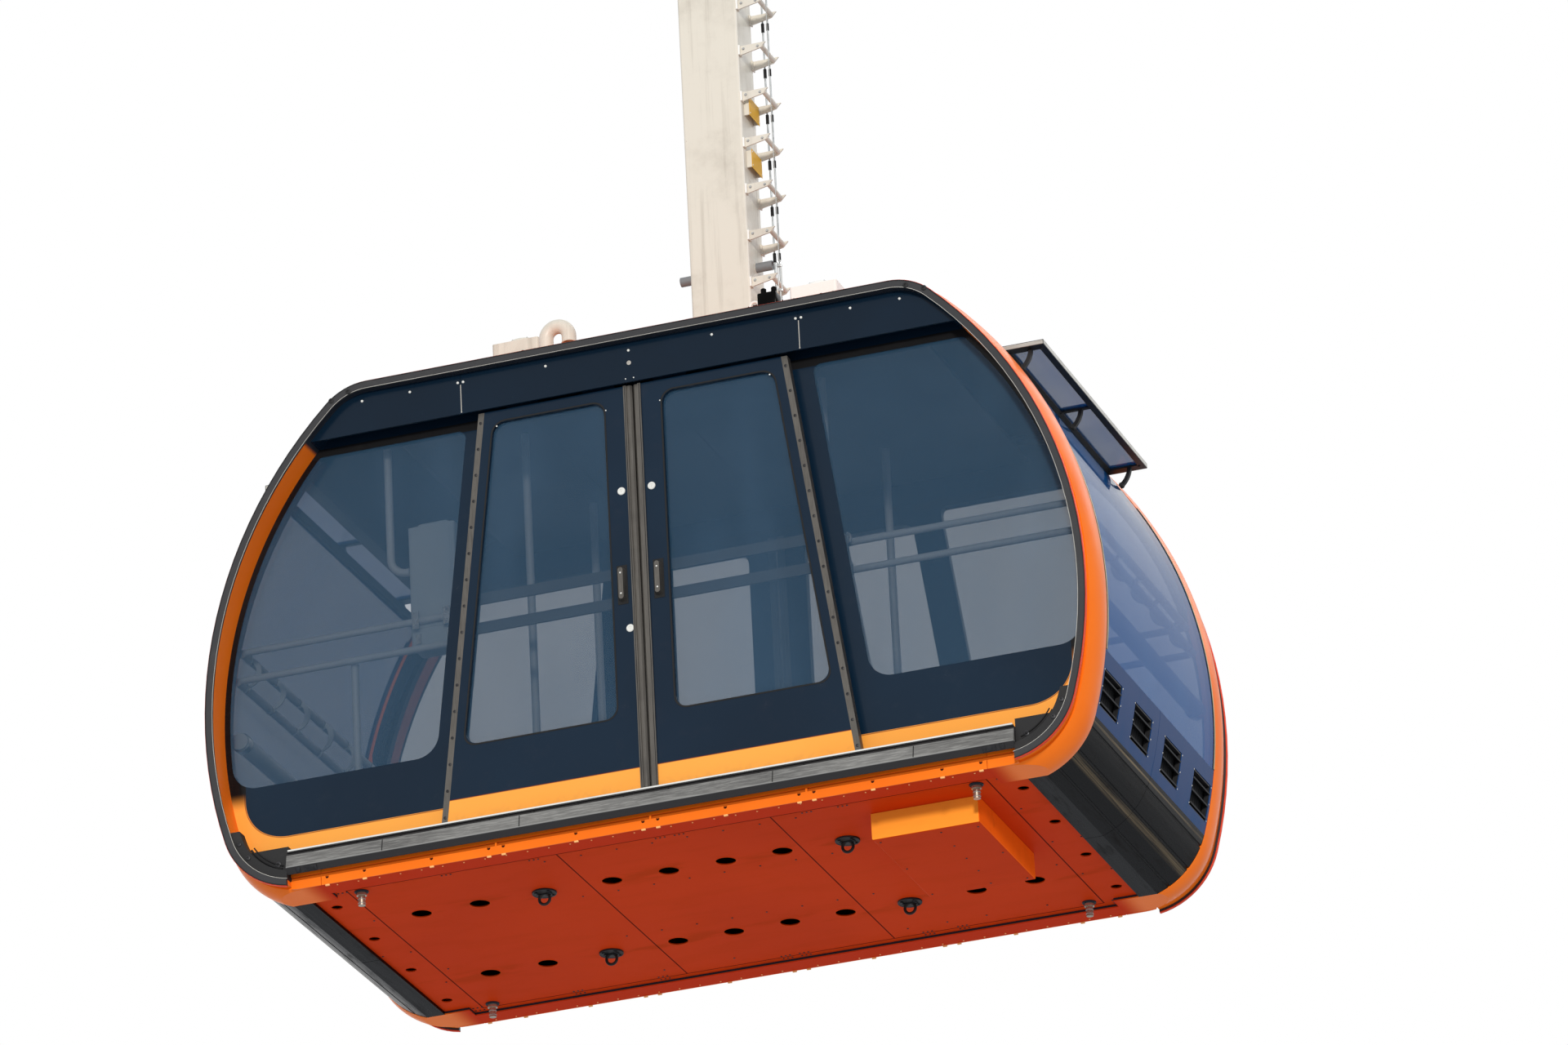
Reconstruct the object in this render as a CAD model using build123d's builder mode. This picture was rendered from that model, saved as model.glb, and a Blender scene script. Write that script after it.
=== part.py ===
from build123d import *

import os
from math import cos, radians, sin, sqrt

# Cable car cabin with its hanger arm and rope carriage, in millimetres.
# X runs along the travel, Y across it, Z up. The origin is on the axis of the track rope,
# below the middle of the carriage. Front is +X, rear is -X, right is -Y, left is +Y.
# Heights in the cabin are counted from FLOOR_Z, the underside of the floor tray.

os.makedirs("parts", exist_ok=True)

# Place of the cabin under the rope
ROPE_TO_FLOOR = 6800.0
FLOOR_Z = -ROPE_TO_FLOOR

# Side outline of the body: flat roof, shoulder arc, long bowed end, lower corner arc
BODY_LENGTH = 4330.0
RING_HEIGHT = 2473.0
RING_BOTTOM = -16.0
SHOULDER_R = 295.0
SHOULDER_TURN = 43.5
CORNER_R = 370.0
CORNER_TURN = 73.5

# Side ring: a dark band in front, an orange frame behind it that swells beyond the band
BODY_WIDTH = 2208.0
BAND_WIDTH = 32.0
BAND_DEPTH = 20.0
NECK_DEPTH = 55.0
NECK_INSET = 12.0
RING_DEPTH = 190.0
RING_SWELL = 28.0
RING_CROWN = 85.0
RING_EDGE = 2.0
FIT = 0.3

# Straight rail between the two feet of the ring: a grooved front plate with ribs and drain slots
FOOT_RAIL_GAP = 93.5
FOOT_RAIL_DEPTH = 109.0
FOOT_RAIL_PLATE = 12.0
FOOT_RAIL_TOP = 61.0
FOOT_RAIL_SKIN = 3.0
GROOVE_HEIGHTS = (26.0, 46.0)
RIB_PITCH = 760.0
RIB_THICK = 9.0
DRAIN_SLOT_X = (36.0, 366.0, 724.0, 796.0, 1080.0)
DRAIN_SLOT_ENDS = (216.0, 30.0)
DRAIN_SLOT_HEIGHTS = (12.0, 37.0)
DRAIN_SLOT_WIDTH = 17.0

# Fixed side wall, with its glazing set back from the band
WALL_SETBACK = 160.0
WALL_THICK = 40.0
SIDE_GLASS_THICK = 8.0
SEAL_WIDTH = 28.0
PILLAR_WIDTH = 130.0
PILLAR_LAP = 40.0
SILL_TOP = 153.0
SILL_DEPTH = 75.0
BUMPER_BOTTOM = 45.0
BUMPER_HEEL = 66.0
BUMPER_NOSE = 73.0
BUMPER_TOP = 137.0
BUMPER_SLANT = (22.0, 14.0)
BUMPER_GROOVE = (26.0, 151.0)
THRESHOLD_EDGE = (20.0, 157.0)
BUMPER_SETBACK = 385.0
CAP_SETBACK = 14.0
CAP_BLOCK_SETBACK = 40.0
CAP_ARM_WIDTH = 46.0
CAP_TOP = 193.0
CAP_ARM_TOP = 300.0
WINDOW_BOTTOM = 565.0
WINDOW_TOP_RAIL = 40.0
WINDOW_LOW_R = 120.0
WINDOW_HIGH_R = 40.0

# Header over the doors, with the rail that carries the leaves
HEADER_DROP = 236.0
HEADER_SETBACK = 52.0
HEADER_PLATE = 10.0
HEADER_SEAM_X = 845.0
SEAM = 3.0
RAIL_RISE = 60.0
RAIL_THICK = 20.0
RAIL_WIDTH = 35.0
RAIL_END_GAP = 135.0

# Door leaves: upright meeting edge, slanted outer edge
LEAF_TOP_HALF = 771.0
LEAF_BOTTOM_HALF = 1033.0
LEAF_HEAD_GAP = 6.0
LEAF_FOOT_GAP = 7.0
LEAF_GAP = 3.0
LEAF_SETBACK = 80.0
LEAF_THICK = 45.0
LEAF_INNER_STILE = 145.0
LEAF_OUTER_STILE = 80.0
LEAF_TOP_RAIL = 60.0
LEAF_GLASS_BOTTOM = 558.0
LEAF_GLASS_SETBACK = 18.0
LEAF_WINDOW_R = 60.0
HOOK_THICK = 12.0
HOOK_WIDTH = 160.0
HOOK_PLACES = (180.0, 560.0)
HOOK_REACH = 45.0
HOOK_CLEARANCE = 8.0

# Fittings of a leaf: metal profiles on both edges, grip, two bars across the window
MEETING_WIDTH = 40.0
MEETING_STRIP = 14.0
MEETING_PROUD = 8.0
EDGE_WIDTH = 30.0
GRIP_X = 90.0
GRIP_Z = 1215.0
GRIP_SIZE = (36.0, 170.0, 28.0)
WINDOW_BAR_HEIGHTS = (1145.0, 1290.0)
WINDOW_BAR_HEIGHT = 54.0
WINDOW_BAR_THICK = 12.0

# End walls between the two rings
END_SWELL = 20.0
ROOF_INSET = 10.0
END_GLASS_THICK = 10.0
END_PANEL_THICK = 26.0
END_PANEL_TOP = 550.0
END_COVER_TOP = 235.0
END_COVER_INSET = 16.0
COVER_FOLDS = (8.0, 26.0, 44.0, 62.0)
COVER_FOLD_R = 7.0
HATCH_TOP = 2160.0
HATCH_HEIGHT = 160.0
HATCH_FRAME = 26.0
SASH_REACH = 200.0
SASH_THICK = 25.0
SASH_BORDER = 32.0
SASH_MARGIN = 39.0
STAY_R = 125.0
STAY_WIDTH = 18.0
STAY_THICK = 20.0
STAY_SWEEP = 50.0
VENT_COUNT = 4
VENT_MARGIN = 23.0
VENT_WIDTH = 260.0
VENT_BOTTOM = 290.0
VENT_TOP = 468.0
VENT_FRAME = 7.0
BLADE_COUNT = 3
BLADE_THICK = 6.0
BLADE_WIDTH = 40.0
BLADE_TILT = 40.0

# Floor
FLOOR_SETBACK = 408.0
FLOOR_EDGE = 184.0
TRAY_SKIN = 6.0
TRAY_RIM = 12.0
SEAM_DEPTH = 2.0
EDGE_STRIP = 41.0
END_STRIP = 186.0
MIDDLE_PANEL = 1050.0
DECK_TOP = 140.0
DECK_THICK = 22.0
DECK_INSET = 45.0
BIG_HOLE_R = 50.0
BIG_HOLE_X = (-1366.0, -1073.0, -412.0, -130.0, 152.0, 430.0, 1082.0, 1370.0)
END_HOLE_R = 28.0
END_HOLE_SETBACK = 67.0
END_HOLE_MARGIN = 141.0
END_HOLE_COUNT = 4
HOLE_ROW_Y = 445.0
FLOOR_BOX_GAP = 282.0
FLOOR_BOX_LENGTH = 520.0
FLOOR_BOX_MARGIN = 130.0
FLOOR_BOX_WIDTH = 820.0
FLOOR_BOX_DEPTH = 130.0
FLOOR_BOX_EDGE_R = 8.0
TIE_DISC_X = 750.0
TIE_DISC_R = 58.0
TIE_DISC_THICK = 8.0
TIE_RING_R = 26.0
TIE_WIRE_R = 7.0
FOOT_PIN_GAP = 120.0
FOOT_PIN_R = 17.0
FOOT_PIN_LENGTH = 70.0
FOOT_COLLAR_R = 24.0
FOOT_COLLAR = 22.0

# Roof fittings
ROOF_BOX_X = 755.0
ROOF_BOX_Y = -400.0
ROOF_BOX_SIZE = (236.0, 268.0, 316.0)
ROOF_BOX_EDGE_R = 12.0
LID_R = 84.0
LID_RISE = 38.0
LID_CROWN = 14.0
GOOSENECK_X = -568.0
GOOSENECK_Y = -610.0
GOOSENECK_R = 35.0
GOOSENECK_BORE = 30.0
GOOSENECK_BEND = 58.0
GOOSENECK_RISE = 250.0
GLAND_X = 526.0
GLAND_Y = -509.0
GLAND_SIZE = (88.0, 70.0, 300.0)
EYE_X = 452.0
EYE_R = 22.0
EYE_WIRE_R = 7.0
EYE_RISE = 266.0
EYE_SHANK_R = 10.0

# Interior
CEILING_Z = 2330.0
CEILING_THICK = 20.0
CEILING_PAST = 25.0
RAIL_R = 17.0
RAIL_HEIGHTS = (1160.0, 1300.0)
RAIL_START = 970.0
RAIL_STANDOFF = 60.0
RAIL_FOOT_R = 12.0
POLE_R = 19.0
POLE_X = 750.0
POLE_Y = 460.0
CONTROL_BOX_X = (-1225.0, -990.0)
CONTROL_BOX_DEPTH = 150.0
CONTROL_BOX_Z = (1180.0, 1790.0)
CONTROL_BOX_R = 14.0
END_RAIL_R = 20.0
END_RAIL_INSET = 40.0
END_TUBE_R = 42.0
END_TUBE_INSET = 62.0
END_TUBE_HEIGHT = 860.0
RAIL_BRACKET_Y = (150.0, 450.0, 750.0)
RAIL_BRACKET_THICK = 8.0
RAIL_BRACKET_WIDTH = 26.0
GRAB_BEND = ((-1320.0, 2330.0), (-1320.0, 1574.0), (CONTROL_BOX_X[0] - FIT, 1574.0))
GRAB_BEND_R = 80.0
POST_X = -1520.0
POST_TOP = 1151.0

# Hanger arm, which stands beside the rope and crooks over the carriage
ARM_WIDTH = 305.0
ARM_DEPTH = 220.0
ARM_OFFSET = 440.0
ARM_BEND_R = 330.0
ARM_EDGE_R = 12.0
YOKE_HEIGHT = 140.0
YOKE_MARGIN = 199.0
CHEEK_THICK = 30.0
CHEEK_INNER = 150.0
CHEEK_R = 115.0
BRIDGE_RISE = 230.0
RUNG_PITCH = 250.0
FIRST_RUNG_HEIGHT = 3044.0
RUNG_COUNT = 13
RUNG_R = 12.0
RUNG_REACH = 112.0
RUNG_HALF = 96.0
BRACKET_THICK = 8.0
BRACKET_HEIGHT = 50.0
BRACKET_TIP = 28.0
BRACKET_END = 26.0
BRACKET_FOOT = 14.0
CROSSBAR_Z = 3400.0
CROSSBAR_R = 24.0
CROSSBAR_BORE = 20.0
CROSSBAR_REACH = 85.0
FOOT_PLATE = 60.0
FOOT_PLATE_THICK = 24.0
DAMPER_R = 140.0
DAMPER_THICK = 34.0

# Carriage on the track rope
ROPE_R = 20.0
TREAD_R = 160.0
FLANGE_R = 184.0
ROLLER_WIDTH = 76.0
ROLLER_HUB_R = 62.0
ROLLER_RIM_R = 128.0
ROLLER_WEB = 24.0
ROLLER_DRAFT = 8.0
GROOVE_LIP = 8.0
GROOVE_FOOT = 2.0
ROLLER_PITCH = 450.0
ROLLER_COUNT = 8
AXLE_R = 25.0
RUNNING_FIT = 0.1
PIN_R = 45.0
MAIN_PIN_Z = 600.0
# Rockers from the rope up: pins per level, rise of the pivot, plate gap and thickness, eye sizes
SMALL_ROCKER = {"rise": 130.0, "inner": 46.0, "plate": 18.0, "eye_r": 55.0, "pivot_r": 60.0, "pin_r": 28.0}
LARGE_ROCKER = {"rise": 150.0, "inner": 72.0, "plate": 20.0, "eye_r": 60.0, "pivot_r": 75.0, "pin_r": 34.0}
BEAM = {"inner": 100.0, "plate": 25.0, "eye_r": 85.0, "pivot_r": 120.0}
PIVOT_WALL = 10.0
BEAM_HOLE_R = 48.0
BEAM_HOLE_X = 330.0
CLAMP_X = 620.0
CLAMP_SIZE = (180.0, 60.0, 90.0)
HAUL_ROPE_R = 12.0
SOCKET_R = (27.0, 19.0)
SOCKET_LENGTH = 140.0

# Worked out from the sizes above
HALF_WIDTH = BODY_WIDTH / 2
BAND_BACK = HALF_WIDTH - BAND_DEPTH
RING_FRONT = BAND_BACK - NECK_DEPTH
RING_BACK = RING_FRONT - RING_DEPTH
SILL_FRONT = HALF_WIDTH - SILL_DEPTH
WALL_BACK = HALF_WIDTH - WALL_SETBACK - WALL_THICK
BUMPER_HALF = BODY_LENGTH / 2 - BUMPER_SETBACK
FLOOR_HALF = BODY_LENGTH / 2 - FLOOR_SETBACK
FLOOR_SIDE = HALF_WIDTH - FLOOR_EDGE
HEADER_BOTTOM = RING_BOTTOM + RING_HEIGHT - HEADER_DROP
LEAF_TOP = HEADER_BOTTOM - LEAF_HEAD_GAP
LEAF_BOTTOM = SILL_TOP + LEAF_FOOT_GAP
HATCH_BOTTOM = HATCH_TOP - HATCH_HEIGHT
SASH_HALF = RING_BACK - SASH_MARGIN
VENT_PITCH = (2 * (RING_BACK - VENT_MARGIN) - VENT_WIDTH) / (VENT_COUNT - 1)
TRAY_RIB_X = (END_STRIP - FLOOR_HALF, -MIDDLE_PANEL / 2, MIDDLE_PANEL / 2, FLOOR_HALF - END_STRIP)
END_HOLE_X = FLOOR_HALF - END_HOLE_SETBACK
END_HOLE_PITCH = 2 * (RING_BACK - END_HOLE_MARGIN) / (END_HOLE_COUNT - 1)
FLOOR_BOX_X = (FLOOR_HALF - FLOOR_BOX_GAP - FLOOR_BOX_LENGTH, FLOOR_HALF - FLOOR_BOX_GAP)
FLOOR_BOX_Y = (FLOOR_BOX_MARGIN - RING_BACK, FLOOR_BOX_MARGIN - RING_BACK + FLOOR_BOX_WIDTH)
YOKE_REACH = RING_BACK - YOKE_MARGIN
ROOF_TOP = FLOOR_Z + RING_BOTTOM + RING_HEIGHT + END_SWELL
FAR = 2 * BODY_LENGTH
AXLE_Z = ROPE_R + TREAD_R
SMALL_PIN_Z = AXLE_Z + SMALL_ROCKER["rise"]
LARGE_PIN_Z = SMALL_PIN_Z + LARGE_ROCKER["rise"]
BRIDGE_Z = MAIN_PIN_Z + BRIDGE_RISE

# Side outline's arcs: centre, radius, heading at start and end, from straight up round to straight down
shoulder_heading = radians(SHOULDER_TURN)
corner_heading = radians(180.0 - CORNER_TURN)
SIDE_R = (RING_HEIGHT - SHOULDER_R * (1 - cos(shoulder_heading)) - CORNER_R * (1 + cos(corner_heading))) \
    / (cos(shoulder_heading) - cos(corner_heading))
SIDE_X = BODY_LENGTH / 2 - SIDE_R
SIDE_Z = FLOOR_Z + RING_BOTTOM + CORNER_R - (SIDE_R - CORNER_R) * cos(corner_heading)
SHOULDER_X = SIDE_X + (SIDE_R - SHOULDER_R) * sin(shoulder_heading)
SHOULDER_Z = SIDE_Z + (SIDE_R - SHOULDER_R) * cos(shoulder_heading)
CORNER_X = SIDE_X + (SIDE_R - CORNER_R) * sin(corner_heading)
CORNER_Z = SIDE_Z + (SIDE_R - CORNER_R) * cos(corner_heading)
FOOT_RAIL_HALF = CORNER_X - FOOT_RAIL_GAP
FOOT_PIN_X = FOOT_RAIL_HALF - FOOT_PIN_GAP
DRAIN_SLOTS = DRAIN_SLOT_X + tuple(FOOT_RAIL_HALF - gap for gap in DRAIN_SLOT_ENDS)
RAIL_HALF = SHOULDER_X + RAIL_END_GAP
CEILING_HALF = SHOULDER_X + CEILING_PAST
OUTLINE_ARCS = (
    (SHOULDER_X, SHOULDER_Z, SHOULDER_R, 0.0, shoulder_heading),
    (SIDE_X, SIDE_Z, SIDE_R, shoulder_heading, corner_heading),
    (CORNER_X, CORNER_Z, CORNER_R, corner_heading, radians(180.0)),
)


def outline(inset, mode=Mode.ADD):
    """Side outline moved inwards by inset, as a face in the sketch that is open."""
    with BuildLine() as border:
        for hand in (1, -1):
            for x, z, radius, start, end in OUTLINE_ARCS:
                reach = radius - inset
                ThreePointArc(*[(hand * (x + reach * sin(h)), z + reach * cos(h))
                                for h in (start, (start + end) / 2, end)])
        top = SHOULDER_Z + SHOULDER_R - inset
        Line((-SHOULDER_X, top), (SHOULDER_X, top))
        low = CORNER_Z - CORNER_R + inset
        Line((-CORNER_X, low), (CORNER_X, low))
    make_face(border.edges(), mode=mode)


def end_x(height, inset):
    """Half length of the outline at a height on its long bowed end."""
    reach = SIDE_R - inset
    return SIDE_X + sqrt(reach ** 2 - (FLOOR_Z + height - SIDE_Z) ** 2)


def keep(x_range, z_range, mode=Mode.INTERSECT):
    """Rectangle between two lengths and two heights above FLOOR_Z, in a side sketch."""
    with Locations((sum(x_range) / 2, FLOOR_Z + sum(z_range) / 2)):
        Rectangle(x_range[1] - x_range[0], z_range[1] - z_range[0], mode=mode)


def quad(points, mode=Mode.ADD):
    """Straight-edged face through points given as (x, height above FLOOR_Z)."""
    with BuildLine() as border:
        Polyline(*[(x, FLOOR_Z + height) for x, height in points], close=True)
    make_face(border.edges(), mode=mode)


def at_side(side, distance):
    """Plane parallel to XZ, its normal pointing out of the given side and its Y axis up."""
    if side == "right":
        return Plane(origin=(0, -distance, 0), x_dir=(1, 0, 0), z_dir=(0, -1, 0))
    return Plane(origin=(0, distance, 0), x_dir=(-1, 0, 0), z_dir=(0, 1, 0))


def leaf_edge(height):
    """Half width of the doorway's leaf at a height, out to its slanted edge."""
    share = (height - LEAF_BOTTOM) / (LEAF_TOP - LEAF_BOTTOM)
    return LEAF_BOTTOM_HALF + share * (LEAF_TOP_HALF - LEAF_BOTTOM_HALF)


def save(piece, name):
    piece.part.label = name
    export_step(piece.part, f"parts/{name}.step")


def side_window():
    """Glazed opening of the front half of a side wall."""
    lap = PILLAR_WIDTH - PILLAR_LAP
    window_top = HEADER_BOTTOM - WINDOW_TOP_RAIL
    outline(BAND_WIDTH + SEAL_WIDTH)
    quad([(leaf_edge(WINDOW_BOTTOM) + lap, WINDOW_BOTTOM), (FAR, WINDOW_BOTTOM),
          (FAR, window_top), (leaf_edge(window_top) + lap, window_top)], Mode.INTERSECT)


def ring_section(out, joint_x):
    """Section of the ring at one of its feet: neck behind the band, then the bulging back part."""
    start = Plane(origin=(joint_x, out * BAND_BACK, FLOOR_Z + RING_BOTTOM),
                  x_dir=(0, -out, 0), z_dir=(out, 0, 0))
    with BuildSketch(start) as section:
        with BuildLine() as border:
            back = NECK_DEPTH + RING_DEPTH
            Polyline((NECK_DEPTH, -RING_EDGE), (NECK_DEPTH, -NECK_INSET), (0, -NECK_INSET), (0, -BAND_WIDTH),
                     (back, -BAND_WIDTH), (back, END_SWELL + RING_EDGE))
            ThreePointArc((NECK_DEPTH, -RING_EDGE), (NECK_DEPTH + RING_CROWN, RING_SWELL),
                          (back, END_SWELL + RING_EDGE))
        make_face(border.edges())
    return section.sketch


for side, out in (("right", -1), ("left", 1)):
    # Dark band round the side, open below where the bumper runs
    with BuildPart() as ring_band:
        with BuildSketch(at_side(side, BAND_BACK)):
            outline(0.0)
            outline(BAND_WIDTH, Mode.SUBTRACT)
            keep((-BUMPER_HALF, BUMPER_HALF), (-CORNER_R, BUMPER_BOTTOM + BAND_WIDTH), Mode.SUBTRACT)
        extrude(amount=BAND_DEPTH)
    save(ring_band, f"ring_band_{side}")

    # Welded frame of the side: a bulging arch from foot to foot, flat underneath
    with BuildPart() as ring_frame:
        with BuildLine(at_side(side, BAND_BACK)) as arch:
            for hand in (1, -1):
                Line((hand * FOOT_RAIL_HALF, FLOOR_Z + RING_BOTTOM), (hand * CORNER_X, FLOOR_Z + RING_BOTTOM))
                for x, z, radius, start, end in OUTLINE_ARCS:
                    ThreePointArc(*[(hand * (x + radius * sin(h)), z + radius * cos(h))
                                    for h in (start, (start + end) / 2, end)])
            Line((-SHOULDER_X, SHOULDER_Z + SHOULDER_R), (SHOULDER_X, SHOULDER_Z + SHOULDER_R))
        sweep(ring_section(out, -FOOT_RAIL_HALF), path=arch.wire())
        with BuildSketch(at_side(side, RING_BACK)):
            keep((-FAR, FAR), (-BODY_LENGTH, RING_BOTTOM), Mode.ADD)
        extrude(amount=NECK_DEPTH + RING_DEPTH, mode=Mode.SUBTRACT)
        with BuildSketch(at_side(side, SILL_FRONT)):
            keep((-BUMPER_HALF - FIT, BUMPER_HALF + FIT), (-CORNER_R, BUMPER_BOTTOM + BAND_WIDTH), Mode.ADD)
        extrude(amount=SILL_DEPTH, mode=Mode.SUBTRACT)
        # Rail between the feet, its front plate grooved from cap to cap and slotted to drain
        with BuildSketch(at_side(side, SILL_FRONT - FOOT_RAIL_DEPTH)):
            keep((FIT - FOOT_RAIL_HALF, FOOT_RAIL_HALF - FIT),
                 (RING_BOTTOM, RING_BOTTOM + BAND_WIDTH), Mode.ADD)
        extrude(amount=FOOT_RAIL_DEPTH)
        with BuildSketch(at_side(side, SILL_FRONT)):
            outline(0.0)
            keep((-BUMPER_HALF, BUMPER_HALF), (RING_BOTTOM, FOOT_RAIL_TOP))
        extrude(amount=FOOT_RAIL_PLATE)
        with BuildSketch(at_side(side, SILL_FRONT + FOOT_RAIL_SKIN)):
            keep((-BUMPER_HALF, BUMPER_HALF), GROOVE_HEIGHTS, Mode.ADD)
            for x in (-RIB_PITCH, 0.0, RIB_PITCH):
                keep((x - RIB_THICK / 2, x + RIB_THICK / 2), GROOVE_HEIGHTS, Mode.SUBTRACT)
            for x in (-FOOT_RAIL_HALF, FOOT_RAIL_HALF):
                keep((x - SEAM / 2, x + SEAM / 2), (RING_BOTTOM, FOOT_RAIL_TOP), Mode.ADD)
            for x in DRAIN_SLOTS:
                for hand in (1, -1):
                    with Locations((hand * x, FLOOR_Z + sum(DRAIN_SLOT_HEIGHTS) / 2)):
                        SlotOverall(DRAIN_SLOT_HEIGHTS[1] - DRAIN_SLOT_HEIGHTS[0], DRAIN_SLOT_WIDTH,
                                    rotation=90)
        extrude(amount=FOOT_RAIL_PLATE, mode=Mode.SUBTRACT)
    save(ring_frame, f"ring_frame_{side}")

    # Header box over the doors: front plate in three panels, curved lid, back plate and the leaves' rail
    with BuildPart() as header:
        header_zone = ((-FAR, FAR), (HEADER_BOTTOM, 2 * HEADER_BOTTOM))
        with BuildSketch(at_side(side, HALF_WIDTH - HEADER_SETBACK - HEADER_PLATE)):
            outline(BAND_WIDTH + FIT)
            keep(*header_zone)
        extrude(amount=HEADER_PLATE)
        with BuildSketch(at_side(side, HALF_WIDTH - HEADER_SETBACK - SEAM)):
            with Locations((-HEADER_SEAM_X, FLOOR_Z + HEADER_BOTTOM), (HEADER_SEAM_X, FLOOR_Z + HEADER_BOTTOM)):
                Rectangle(SEAM, 2 * RING_HEIGHT)
        extrude(amount=SEAM, mode=Mode.SUBTRACT)
        with BuildSketch(at_side(side, WALL_BACK)):
            outline(BAND_WIDTH + FIT)
            outline(BAND_WIDTH + FIT + HEADER_PLATE, Mode.SUBTRACT)
            keep(*header_zone)
        extrude(amount=HALF_WIDTH - HEADER_SETBACK - HEADER_PLATE - WALL_BACK)
        with BuildSketch(at_side(side, WALL_BACK)):
            outline(BAND_WIDTH + FIT)
            keep(*header_zone)
        extrude(amount=WALL_THICK)
        with BuildSketch(at_side(side, WALL_BACK + WALL_THICK)):
            rail_bottom = HEADER_BOTTOM + RAIL_RISE
            keep((-RAIL_HALF, RAIL_HALF), (rail_bottom, rail_bottom + RAIL_THICK), Mode.ADD)
        extrude(amount=RAIL_WIDTH)
    save(header, f"header_{side}")

    # Sill under the doors with the two-faced bumper in front of it, grooved below the threshold's edge
    with BuildPart() as sill:
        with BuildSketch(at_side(side, WALL_BACK)):
            outline(BAND_WIDTH + FIT)
            keep((-FAR, FAR), (-BODY_LENGTH, SILL_TOP))
        extrude(amount=SILL_FRONT - WALL_BACK)
        bumper_top = HALF_WIDTH - BUMPER_SLANT[1]
        groove_back, groove_top = HALF_WIDTH - BUMPER_GROOVE[0], BUMPER_GROOVE[1]
        edge_back, edge_top = HALF_WIDTH - THRESHOLD_EDGE[0], THRESHOLD_EDGE[1]
        with BuildSketch(Plane.YZ.offset(-BUMPER_HALF)) as bumper:
            with BuildLine() as border:
                Polyline(*[(out * y, FLOOR_Z + height) for y, height in (
                    (SILL_FRONT, BUMPER_HEEL), (HALF_WIDTH - BUMPER_SLANT[0], BUMPER_BOTTOM),
                    (HALF_WIDTH, BUMPER_NOSE), (bumper_top, BUMPER_TOP),
                    (groove_back, BUMPER_TOP), (groove_back, groove_top), (bumper_top, groove_top),
                    (bumper_top, edge_top), (edge_back, edge_top), (edge_back, SILL_TOP),
                    (SILL_FRONT, SILL_TOP))], close=True)
            make_face(border.edges())
        extrude(bumper.sketch, amount=2 * BUMPER_HALF)
    save(sill, f"sill_{side}")

    # Fixed walls on both hands of the doorway, each with its slanted pillar and window
    with BuildPart() as walls:
        with BuildSketch(at_side(side, WALL_BACK)):
            outline(BAND_WIDTH + FIT)
            quad([(leaf_edge(SILL_TOP) - PILLAR_LAP, SILL_TOP), (FAR, SILL_TOP),
                  (FAR, HEADER_BOTTOM), (leaf_edge(HEADER_BOTTOM) - PILLAR_LAP, HEADER_BOTTOM)],
                 Mode.INTERSECT)
            with BuildSketch(mode=Mode.SUBTRACT) as window:
                side_window()
                corners = window.vertices().sort_by(Axis.Y)
                fillet(corners[:2], radius=WINDOW_LOW_R)
                fillet(window.vertices().sort_by(Axis.Y)[-2:], radius=WINDOW_HIGH_R)
        extrude(amount=WALL_THICK)
        mirror(about=Plane.YZ)
    save(walls, f"side_walls_{side}")

    with BuildPart() as glazing:
        with BuildSketch(at_side(side, WALL_BACK + WALL_THICK - SIDE_GLASS_THICK)):
            with BuildSketch() as window:
                side_window()
                fillet(window.vertices().sort_by(Axis.Y)[:2], radius=WINDOW_LOW_R)
                fillet(window.vertices().sort_by(Axis.Y)[-2:], radius=WINDOW_HIGH_R)
        extrude(amount=SIDE_GLASS_THICK)
        mirror(about=Plane.YZ)
    save(glazing, f"side_glass_{side}")

    # Door leaves: frame with hooks over the header's rail, the pane, and the metal and bars on it
    leaf_back = HALF_WIDTH - LEAF_SETBACK - LEAF_THICK
    leaf_face = HALF_WIDTH - LEAF_SETBACK
    pane_top = LEAF_TOP - LEAF_TOP_RAIL
    for end, hand in (("front", 1), ("rear", -1)):
        turn = hand if side == "right" else -hand
        window_points = [(turn * x, height) for x, height in (
            (LEAF_INNER_STILE, LEAF_GLASS_BOTTOM),
            (leaf_edge(LEAF_GLASS_BOTTOM) - LEAF_OUTER_STILE, LEAF_GLASS_BOTTOM),
            (leaf_edge(pane_top) - LEAF_OUTER_STILE, pane_top),
            (LEAF_INNER_STILE, pane_top))]
        hook_top = HEADER_BOTTOM + RAIL_RISE + RAIL_THICK + FIT
        hook_face = WALL_BACK + WALL_THICK + RAIL_WIDTH + HOOK_CLEARANCE
        meeting_x = LEAF_GAP + MEETING_WIDTH
        with BuildPart() as leaf:
            with BuildSketch(at_side(side, leaf_back)):
                quad([(turn * x, height) for x, height in (
                    (meeting_x, LEAF_BOTTOM), (leaf_edge(LEAF_BOTTOM) - EDGE_WIDTH, LEAF_BOTTOM),
                    (leaf_edge(LEAF_TOP) - EDGE_WIDTH, LEAF_TOP), (meeting_x, LEAF_TOP))])
                with BuildSketch(mode=Mode.SUBTRACT) as opening:
                    quad(window_points)
                    fillet(opening.vertices(), radius=LEAF_WINDOW_R)
            extrude(amount=LEAF_THICK)
            for place in HOOK_PLACES:
                span = sorted((turn * (place - HOOK_WIDTH / 2), turn * (place + HOOK_WIDTH / 2)))
                with BuildSketch(at_side(side, hook_face)):
                    keep(span, (LEAF_TOP, hook_top + HOOK_THICK), Mode.ADD)
                extrude(amount=HOOK_THICK)
                with BuildSketch(at_side(side, hook_face + HOOK_THICK - HOOK_REACH)):
                    keep(span, (hook_top, hook_top + HOOK_THICK), Mode.ADD)
                extrude(amount=HOOK_REACH)
        save(leaf, f"door_leaf_{side}_{end}")

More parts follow.
